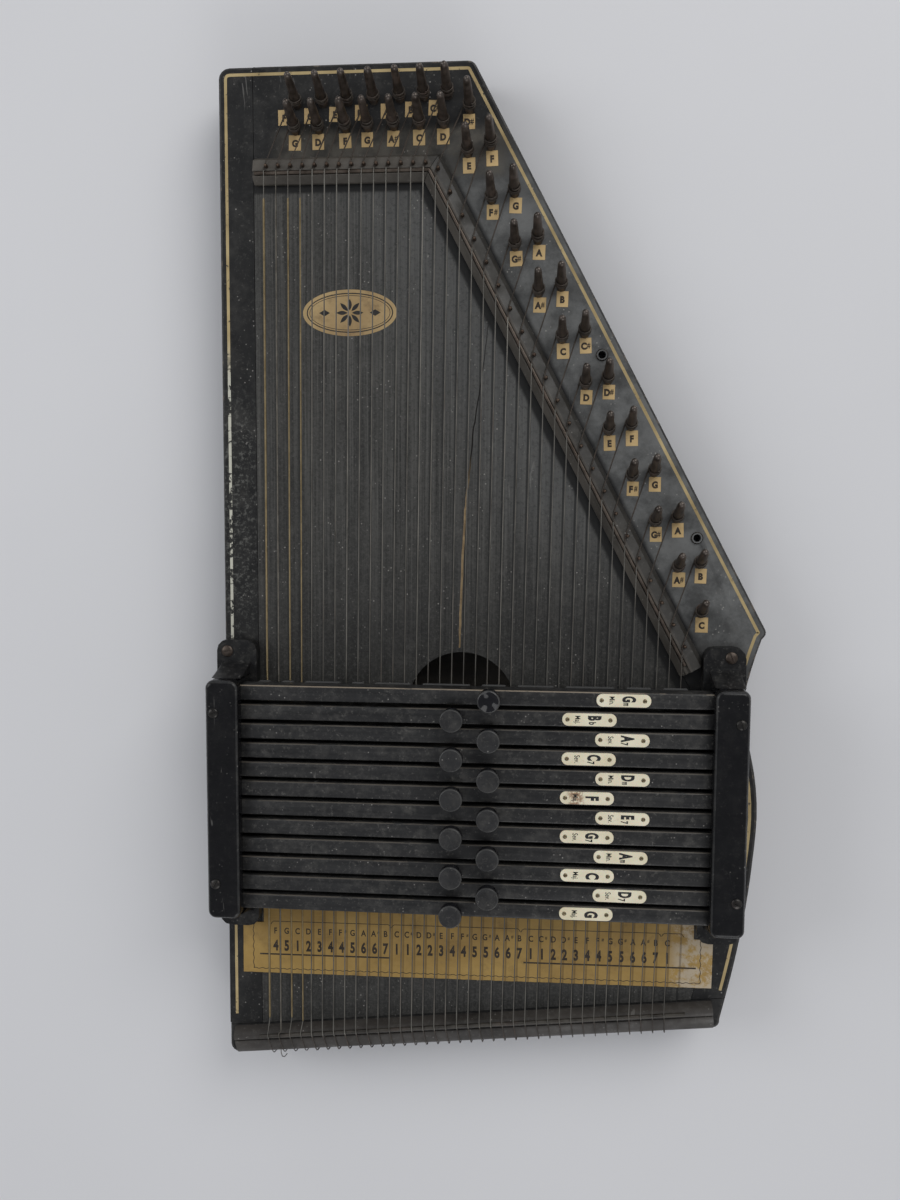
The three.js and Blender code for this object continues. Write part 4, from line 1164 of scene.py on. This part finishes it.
def labels():
    """A small paper square with its note by each tuning pin, lifting a little at the corners."""
    rnd = random.Random(5)
    ink_ = Build()
    for i, (x, y) in enumerate(PINS):
        shift = -7.0 if i < 14 and i % 2 == 0 else (-0.4 if i < 15 else 0.7)
        cx, cy = x + shift, y - 6.5
        half_w, half_h = 3.25 + rnd.uniform(-0.15, 0.15), 4.0 + rnd.uniform(-0.15, 0.15)
        turn = rnd.uniform(-0.04, 0.04)
        grid, k = [], 6
        for r in range(k + 1):
            for c in range(k + 1):
                a, b = (2 * c / k - 1), (2 * r / k - 1)
                lift = 0.12 + 0.25 * max(0, abs(a * b) - 0.5) * rnd.uniform(0.4, 1.2)
                px, py = a * half_w, b * half_h
                gx = cx + px * math.cos(turn) - py * math.sin(turn)
                grid.append((gx, cy + px * math.sin(turn) + py * math.cos(turn), lift))
        verts = [P(gx, gy, 0.01) for gx, gy, _ in grid] + [P(*g) for g in grid]
        n = (k + 1) ** 2
        faces = []
        for r in range(k):
            for c in range(k):
                q = r * (k + 1) + c
                faces += [(q, q + k + 1, q + k + 2, q + 1), (n + q, n + q + 1, n + q + k + 2, n + q + k + 1)]
        rim = [c for c in range(k)] + [k + r * (k + 1) for r in range(k)]
        rim += [n - 1 - c for c in range(k)] + [k * (k + 1) - r * (k + 1) for r in range(k)]
        faces += [(p, q, n + q, n + p) for p, q in zip(rim, rim[1:] + rim[:1])]
        piece(f"note_label_{i + 1:02d}", verts, faces, [LABEL], smooth=50)
        note = NOTES[i]
        ink_.letters(note[0], cx - 0.9 * (len(note) - 1), cy - 0.2, 3.4, 0.2, turn, 0.9, 0.085)
        if len(note) > 1:
            ink_.letters("#", cx + 1.65, cy + 0.3, 2.9, 0.2, turn, 0.72, 0.03)
    ink_.finish("note_label_letters", [PAPER_INK])


labels()


def eyelets():
    for i, (x, y) in enumerate(SPARE_HOLES):
        profile = [(2.15, -6), (3.3, -6), (3.3, 0.35), (3.15, 0.8), (2.75, 1.0), (2.35, 0.85), (2.15, 0.4)]
        b = Build()
        b.lathe(profile + profile[:1], P(x, y), 32, ends=False)
        b.finish(f"eyelet_{i + 1}", [PLATE], slot="tuning_pins", smooth=50)


eyelets()


# ------------------------------------------------------------------ note scale and ornament
def note_scale():
    outline = [(8.6, 79.8), (8.4, 49.6), (275.7, 52.0), (276, 79.8)]
    outline += [(265.4, 79.8), (265.4, 94), (20.6, 94), (20.6, 79.8)]
    rnd = random.Random(3)
    edge = []
    for i, (ax, ay) in enumerate(outline):
        bx, by = outline[(i + 1) % len(outline)]
        steps = max(2, int(math.dist((ax, ay), (bx, by)) / 2.5))
        for k in range(steps):
            t = k / steps
            w = 0 if k == 0 else rnd.uniform(-0.12, 0.12)
            edge.append((ax + (bx - ax) * t + w * 0.3, ay + (by - ay) * t + w))
    b = Build()
    b.prism(edge, 0.02, 0.45)
    sheet = b.finish("note_scale_paper", [SCALE], slot="scale_paper")
    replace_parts(sheet, "note_scale")

    def level(x):
        """The print runs parallel to the paper's lower edge."""
        return 49 + (x - 8.4) * 2.5 / 267.3

    top = 0.47
    print_ = Build()
    starts = []
    degrees = dict(zip("C D E F G A B".split(), "1234567"))
    for i in range(STRINGS):
        x = 27.6 + 6.38 * i + 0.5 * math.sin(math.pi * i / 35)
        starts.append(x)
        sharp = len(NOTES[i]) > 1
        print_.letters(degrees[NOTES[i][0]], x, level(x) + 17.2, 6.0, top, 0.009, 0.68, 0.06)
        print_.letters(NOTES[i][0], x - (0.6 if sharp else 0), level(x) + 25.9, 3.5, top, 0.009, 0.82, 0.035)
        if sharp:
            print_.letters("#", x + 2.2, level(x) + 26.7, 1.9, top, 0.009, 0.8, 0.02)
    for a, c in ((18.2, 93.8), (170.7, 267.0)):
        corners = ((a, 11.3), (c, 11.3), (c, 12.2), (a, 12.2))
        print_.prism([(x, level(x) + rise) for x, rise in corners], 0.4, top)

    # A wavy frame, and a bracket over each octave.
    def stroke(points, width):
        rings = []
        for k, (x, y) in enumerate(points):
            a, c = Vector(points[max(k - 1, 0)]), Vector(points[min(k + 1, len(points) - 1)])
            t = (c - a).normalized()
            nx, ny = -t.y * width / 2, t.x * width / 2
            left, right = (x - nx, y - ny), (x + nx, y + ny)
            rings.append([P(*left, 0.4), P(*right, 0.4), P(*right, top), P(*left, top)])
        print_.rings(rings)

    x0, x1 = 14.5, 269.3
    n = 260
    along = [x0 + (x1 - x0) * k / n for k in range(n + 1)]
    stroke([(x, level(x) + 3.1 + 0.3 * math.sin(k * 1.5)) for k, x in enumerate(along)], 0.4)
    for x in (x0, x1):
        stroke([(x + 0.3 * math.sin(k * 1.3), level(x) + 3.1 + k) for k in range(27)], 0.4)
    for a, c in ((24.9, 94.8), (95.2, 168.8), (169.2, 247.3), (247.7, 259.9)):
        def y(x):
            return level(x) + 31.4

        stroke(
            [(a, y(a) - 1.9), (a + 0.5, y(a) - 0.8), (a + 1.5, y(a))]
            + [(a + 1.5 + (c - a - 3) * k / 8, y(a + 1.5 + (c - a - 3) * k / 8)) for k in range(1, 8)]
            + [(c - 1.5, y(c)), (c - 0.5, y(c) - 0.8), (c, y(c) - 1.9)],
            0.4,
        )
    print_.finish("note_scale_print", [PAPER_INK], slot="scale_paper")


note_scale()


def ornament():
    """A plain painted oval with ruled borders and a rosette, where the real one carries a printed mark."""
    cx, cy = 72.0, 425.0
    b = Build()
    b.prism([(cx + 26.0 * math.cos(q), cy + 12.5 * math.sin(q)) for q in _turn(72)], -0.2, 0.06)
    for wide, high, line in ((23.6, 10.4, 0.6), (22.2, 9.2, 0.3)):
        rings = []
        for q in _turn(72):
            reaches = ((wide - line / 2, high - line / 2), (wide + line / 2, high + line / 2))
            near, far = ((cx + a * math.cos(q), cy + c * math.sin(q)) for a, c in reaches)
            rings.append([P(*near), P(*far), P(*far, 0.1), P(*near, 0.1)])
        b.rings(rings, 1, loop=True)
    # Eight petals round the middle, and a lozenge on each side of them.
    for angle in _turn(8):
        along = Vector((math.cos(angle), math.sin(angle)))
        across = Vector((-along.y, along.x))
        side = [(1.2 + 6.3 * k / 8, 1.1 * math.sin(math.pi * k / 8)) for k in range(9)]
        shape = [r * along - w * across for r, w in side] + [r * along + w * across for r, w in side[-2:0:-1]]
        b.prism([(cx + v.x, cy + v.y) for v in shape], 0.0, 0.1, 1)
    for shift in (-14.0, 14.0):
        corners = ((-3, 0), (0, -1.8), (3, 0), (0, 1.8))
        b.prism([(cx + shift + dx, cy + dy) for dx, dy in corners], 0.0, 0.1, 1)
    b.finish("painted_oval", [OVAL, ink("ornament_black", (0.012, 0.011, 0.011), (0.1, 0.07, 0.045), 0.45)])


ornament()


# ------------------------------------------------------------------ bars, felts, buttons, tags
PRESS = 2.7  # travel of a bar
FELT_CLEARANCE = 0.03  # left over the highest string under a pad when its bar is down


def string_top(i, y):
    """Height of the top of string i over the deck, y up the board."""
    thick = wire_radius(i)
    core = CORE if i in WOUND else thick
    low_y = from_tail(FIRST_STRING_X + STRING_PITCH * i, 14.2)[1]
    high_y = on_nut(i, -9)[1]
    fall = TAIL_ROD_TOP - NUT_ROD_TOP - 0.02
    return TAIL_ROD_TOP + core - fall * (y - low_y) / (high_y - low_y) + thick


def bars():
    for i, y in enumerate(BAR_Y):
        body = f"bar_{i + 1:02d}"
        label = f"{i + 1:02d}"
        section = rounded_box(-4.2, 4.2, BAR_BASE, BAR_TOP, 1.0, 4)
        b = Build()
        ends = [7, 7.25, 7.9, 278.1, 278.75, 279]
        rings = []
        for x in ends:
            shrink = {7: 0.5, 7.25: 0.2, 278.75: 0.2, 279: 0.5}.get(x, 0)
            mid = (BAR_BASE + BAR_TOP) / 2
            rings.append(
                [P(x, y + d * (1 - shrink / 4.2), mid + (h - mid) * (1 - shrink / 6.2)) for d, h in section]
            )
        b.rings(rings)
        corner = P(0, y + 3.6, 30.0)
        b.paint(1, lambda centre: centre.y > corner.y and centre.z > corner.z)
        bar = b.finish(f"bar_{label}", [BAR, BAR_EDGE], body, "chord_bars", 35)
        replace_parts(bar, f"chord_bar_{label}")
        felts = Build()
        pads = []
        for s in range(STRINGS):
            if NOTES[s] in CHORDS[i]:
                continue
            if pads and pads[-1][-1] == s - 1:
                pads[-1].append(s)
            else:
                pads.append([s])
        for pad in pads:
            a, c = string_x(pad[0], y) - 3.2, string_x(pad[-1], y) + 3.2
            low = max(string_top(s, y) for s in pad) + PRESS + FELT_CLEARANCE
            ring = []
            for x, w in ((a, 3.6), (a + 0.35, 3.95), (c - 0.35, 3.95), (c, 3.6)):
                side = [(w, 18.05), (w, low + 0.4), (w - 0.5, low)]
                section = [(-d, h) for d, h in side] + side[::-1]
                ring.append([P(x, y + d, h) for d, h in section])
            felts.rings(ring)
        felts.finish(f"felt_{label}", [FELT], body, "chord_bars", 35)
        # Button: a short stem under a broad cap. The first is a newer, dished one.
        x = BUTTON_X[i % 2]
        base = P(x, y, BAR_TOP)
        stem = [(3.7, 0), (3.7, 0.5), (3.4, 1.2), (3.4, 5.0), (3.8, 6.0), (5.3, 6.4), (6.0, 6.9), (6.15, 7.6)]
        if i == 0:
            cap = [(6.15, 11.6), (6.02, 12.4), (5.7, 12.85), (5.3, 13.0), (4.8, 12.75)]
            cap += [(3.6, 11.7), (2.0, 11.0), (0.8, 10.8), (0.03, 10.78)]
        else:
            cap = [(6.15, 12.0), (6.07, 12.5), (5.85, 12.85), (5.5, 13.0), (5.05, 12.93)]
            cap += [(4.6, 12.82), (3.0, 12.75), (1.2, 12.72), (0.03, 12.7)]
        button = Build().lathe(stem + cap, base, 48)
        # The rim takes the lighter plastic, a painted highlight; the cap's sides take the dark gloss, a painted
        # shade.
        for f, face in enumerate(button.faces):
            centre = sum((button.verts[k] for k in face), Vector()) / len(face) - base
            if centre.xy.length > 5.3 * MM and centre.z > 12.2 * MM:
                button.which[f] = 1
            elif centre.xy.length > 4 * MM and centre.z < 12.1 * MM:
                button.which[f] = 2
        materials = [GLOSS if i == 0 else BUTTON, RIM, GLOSS]
        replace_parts(button.finish(f"button_{label}", materials, body, "buttons", 38), f"chord_button_{label}")
        tag(i, y, body, label)


TAG_LENGTH, TAG_LOW, TAG_TOP = 28.4, 30.45, 31.25
PRINT_TOP = TAG_TOP + 0.02
RIVET_HEAD = [(1.15, 0.7), (1.15, 0.85), (0.95, 1.1), (0.5, 1.22), (0.03, 1.25)]


def tag(i, y, body, label):
    """A small round-ended name plate held by two rivets."""
    x0 = (208.0 if i % 2 == 0 else 190.0) + 0.4 * math.sin(2.3 * i)
    x1 = x0 + TAG_LENGTH
    turn = 0.012 * math.sin(3.1 * i)
    cx, cy = (x0 + x1) / 2, y
    c, s = math.cos(turn), math.sin(turn)

    def place(px, py):
        return cx + (px - cx) * c - (py - cy) * s, cy + (px - cx) * s + (py - cy) * c

    shape = [place(*p) for p in rounded_box(x0, x1, y - 3.4, y + 3.4, 3.2, 8)]
    b = Build()
    b.pillow(shape, TAG_LOW, TAG_TOP, 0.3)
    for x in (x0 + 2.7, x1 - 3.3):
        px, py = place(x, y)
        b.lathe(RIVET_HEAD, P(px, py, 30.4), 18, material=2)
    name = NAMES[i]
    big = cx + 2.9
    kind = "Sev." if name.endswith("7") else "Min." if name.endswith("m") else "Maj."
    down = -math.pi / 2 + turn
    if len(name) == 1:
        b.letters(name, *place(big, y), 6.4, PRINT_TOP, down, 0.56, 0.075, 1)
    else:
        b.letters(name[0], *place(big, y + 0.9), 6.4, PRINT_TOP, down, 0.5, 0.075, 1)
        back = 1.7 if name[1] == "7" else 1.2
        narrow = 0.44 if name[1] == "m" else 0.6
        b.letters(name[1], *place(big - back, y - 1.85), 3.6, PRINT_TOP, down, narrow, 0.045, 1)
    b.letters(kind, *place(cx - 6.0, y), 2.9, PRINT_TOP, down, 0.66, 0.012, 1)
    stained = STAINED if name == "F" else IVORY
    b.finish(f"tag_{label}", [stained, TAG_INK, RIVET], body, None, 40)


bars()


# ------------------------------------------------------------------ holders, covers, springs, screws
def block(x0, x1, y0, y1, low, high):
    return Build().prism([(x0, y0), (x1, y0), (x1, y1), (x0, y1)], low, high).finish("block_tool", [COVER])


def covers():
    """The moulded lids over the combs, with a soft top edge, and the necks of the holders."""
    for side, flip in (("bass", False), ("treble", True)):

        def span(a, b):
            return sorted((286 - a, 286 - b)) if flip else (a, b)

        lid = Build().pillow(rounded_box(*span(-0.5, 17.5), 95.4, 226.5, 4.2, 8), 18, 38, 2.6, 0, 6)
        lid = lid.finish(f"{side}_lid", [COVER, LID_HIGHLIGHT], slot="covers")
        # The rounded top edge takes the lighter plastic, a painted highlight.
        for face in lid.data.polygons:
            face.material_index = int(0.45 < face.normal.z < 0.85)
        carve(lid, block(*span(1.5, 15.5), 97, 224.9, 10, 36), block(*span(8, 24), 97.6, 224.3, 9, 31.2))
        lid.data.shade_smooth()
        lid.data.set_sharp_from_angle(angle=math.radians(35))
        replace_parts(lid, f"{side}_cover")
        dress(f"{side}_holder", [HOLDER], 0.6, 3, 28)
        x0, x1 = span(0.6, 16.4)
        for end, (y, out) in enumerate(((225.4, 1), (96.5, -1))):
            rings = []
            for k in range(9):
                t = k / 8
                reach, high = y + out * (1.2 + 7.2 * t), 8.0 + 21.5 * (1 - t) ** 1.6
                grow = 1.1 * t
                a, c = x0 - grow * 0.3, x1 + grow * 0.3
                section = [(a, 7.6), (c, 7.6), (c, high - 1.0), (c - 0.4, high - 0.3), (c - 1.2, high)]
                section += [(a + 1.2, high), (a + 0.4, high - 0.3), (a, high - 1.0)]
                rings.append([P(x, reach, h) for x, h in section])
            Build().rings(rings).finish(f"{side}_neck_{end + 1}", [HOLDER], slot="holders", smooth=40)


covers()


def springs():
    for side, x in (("bass", 10.5), ("treble", 275.5)):
        strip = Build()
        x0, x1 = x - 2.7, x + 2.7
        strip.pillow(rounded_box(x0, x1, 98.9, 223.1, 0.6, 3), 7.3, 8.4, 0.3)
        seat = strip.finish(f"{side}_spring_seat", [PLATE], slot="springs", smooth=40)
        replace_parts(seat, f"{side}_spring_row")
        for i, y in enumerate(BAR_Y):
            path = []
            turns, per = 5.5, 16
            low, high = 8.75, 17.35
            for k in range(int(turns * per) + 1):
                t = k / (turns * per)
                rise = low + (high - low) * min(1, max(0, (t * turns - 0.6) / (turns - 1.2)))
                q = 2 * math.pi * k / per
                path.append(P(x + 2.25 * math.cos(q), y + 2.25 * math.sin(q), rise))
            coil = Build().tube(path, 0.33 * MM, 8).finish(
                f"{side}_spring_{i + 1:02d}", [SPRING], slot="springs", smooth=60
            )
            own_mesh(coil)


springs()


def screw(name, node, x, y, seat, head, turn, steel, tall):
    """A dome-headed slotted screw."""
    b = Build()
    profile = [(0.45, -6), (0.5, 0), (1, 0), (1, 0.18), (0.97, 0.4)]
    profile += [(0.88, 0.68), (0.72, 0.95), (0.5, 1.15), (0.25, 1.26), (0.012, 1.3)]
    b.lathe([(r * head, h if h < 0 else h * tall) for r, h in profile], P(x, y, seat), 40)
    obj = b.finish(name, [steel], slot="screws", smooth=32)
    tool = Build()
    c, s = math.cos(turn), math.sin(turn)
    pts = [(-4, -0.42), (4, -0.42), (4, 0.42), (-4, 0.42)]
    tool.prism([(x + a * c - d * s, y + a * s + d * c) for a, d in pts], seat + 0.6 * tall, seat + 4)
    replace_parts(carve(obj, tool.finish("slot_tool", [steel])), node)


for i, (x, y) in enumerate(((3.4, 238.6), (3.4, 87.5), (280.6, 239.6), (280.6, 87.5))):
    screw(f"foot_screw_{i + 1}", f"holder_screw_{i + 1}", x, y, 8.05, 3.3, 0.1 + 0.9 * i, SCREW, 0.9)
for i, (x, y) in enumerate(((4.2, 209.1), (4.2, 114.9), (281.8, 209.1), (281.8, 114.9))):
    screw(f"lid_screw_{i + 1}", f"cover_screw_{i + 1}", x, y, 38.02, 2.8, 0.3 + 0.8 * i, BLACK_SCREW, 0.85)


def feet():
    for i, (x, y) in enumerate(((19, 22), (264, 48), (19, 538), (270, 266))):
        low = -DECK / MM
        profile = [(1.9, 1.6), (2.0, 0.9), (2.5, 0.2), (3.4, 0.0), (5.9, 0.0), (6.5, 0.15)]
        profile += [(6.95, 0.6), (7.15, 1.3), (7.5, 3.5), (7.4, 3.8), (1.9, 3.85)]
        b = Build().lathe(profile + profile[:1], P(x, y, low), 40, ends=False)
        b.lathe([(0.05, 1.0), (1.0, 1.1), (1.7, 1.4), (1.85, 1.8), (1.0, 3.9)], P(x, y, low), 24, material=1)
        foot = b.finish(f"foot_{i + 1}", [RUBBER, SCREW], slot="rubber_feet", smooth=45)
        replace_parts(foot, f"rubber_foot_{i + 1}")


feet()


# ------------------------------------------------------------------ stage
def stage():
    s = Surface("pale_floor")
    s.colour(s.ramp(s.noise(3, 4), (0.3, (0.72, 0.72, 0.735)), (0.7, (0.75, 0.75, 0.765))))
    s.roughness(s.spread(s.noise(5, 3), 0.3, 0.7, 0.75, 0.85))
    size = 6.0
    data = bpy.data.meshes.new("floor")
    corners = [(-size, -size, 0), (size, -size, 0), (size, size, 0), (-size, size, 0)]
    data.from_pydata(corners, [], [(0, 1, 2, 3)])
    data.materials.append(s.material)
    floor = bpy.data.objects.new("floor", data)
    bpy.context.scene.collection.objects.link(floor)
    world = bpy.data.worlds.new("studio")
    world.use_nodes = True
    world.node_tree.nodes["Background"].inputs[0].default_value = (0.93, 0.95, 1.0, 1)
    world.node_tree.nodes["Background"].inputs[1].default_value = 0.36
    bpy.context.scene.world = world

    def lamp(name, at, to, size, watts, tint=(1, 1, 1)):
        light = bpy.data.lights.new(name, "AREA")
        light.shape, light.size, light.energy, light.color = "DISK", size, watts, tint
        obj = bpy.data.objects.new(name, light)
        obj.location = at
        obj.rotation_mode = "QUATERNION"
        obj.rotation_quaternion = (Vector(to) - Vector(at)).to_track_quat("-Z", "Y")
        bpy.context.scene.collection.objects.link(obj)

    lamp("key", (0.95, 1.3, 1.4), (0, 0, 0.03), 1.4, 16, (1.0, 0.995, 0.98))
    lamp("fill", (-1.7, 0.5, 1.3), (0, 0, 0.03), 1.3, 11, (0.97, 0.985, 1.0))
    lamp("front", (0.5, -1.9, 1.2), (0, 0, 0.03), 1.3, 10)
    bpy.context.scene.view_settings.view_transform = "Standard"

    camera = bpy.data.cameras.new("camera")
    camera.lens, camera.sensor_width, camera.clip_start = 33.0, 36.0, 0.01
    view = bpy.data.objects.new("camera", camera)
    right, up = Vector((0.9957, 0.0051, -0.0928)), Vector((-0.0134, 0.9960, -0.0888))
    ahead = Vector((-0.0920, -0.0897, -0.9917))
    turn = Matrix((right, up, -ahead)).transposed()
    view.matrix_world = Matrix.Translation((0.035207, 0.046302, 0.642)) @ turn.to_4x4()
    bpy.context.scene.collection.objects.link(view)
    bpy.context.scene.camera = view


stage()
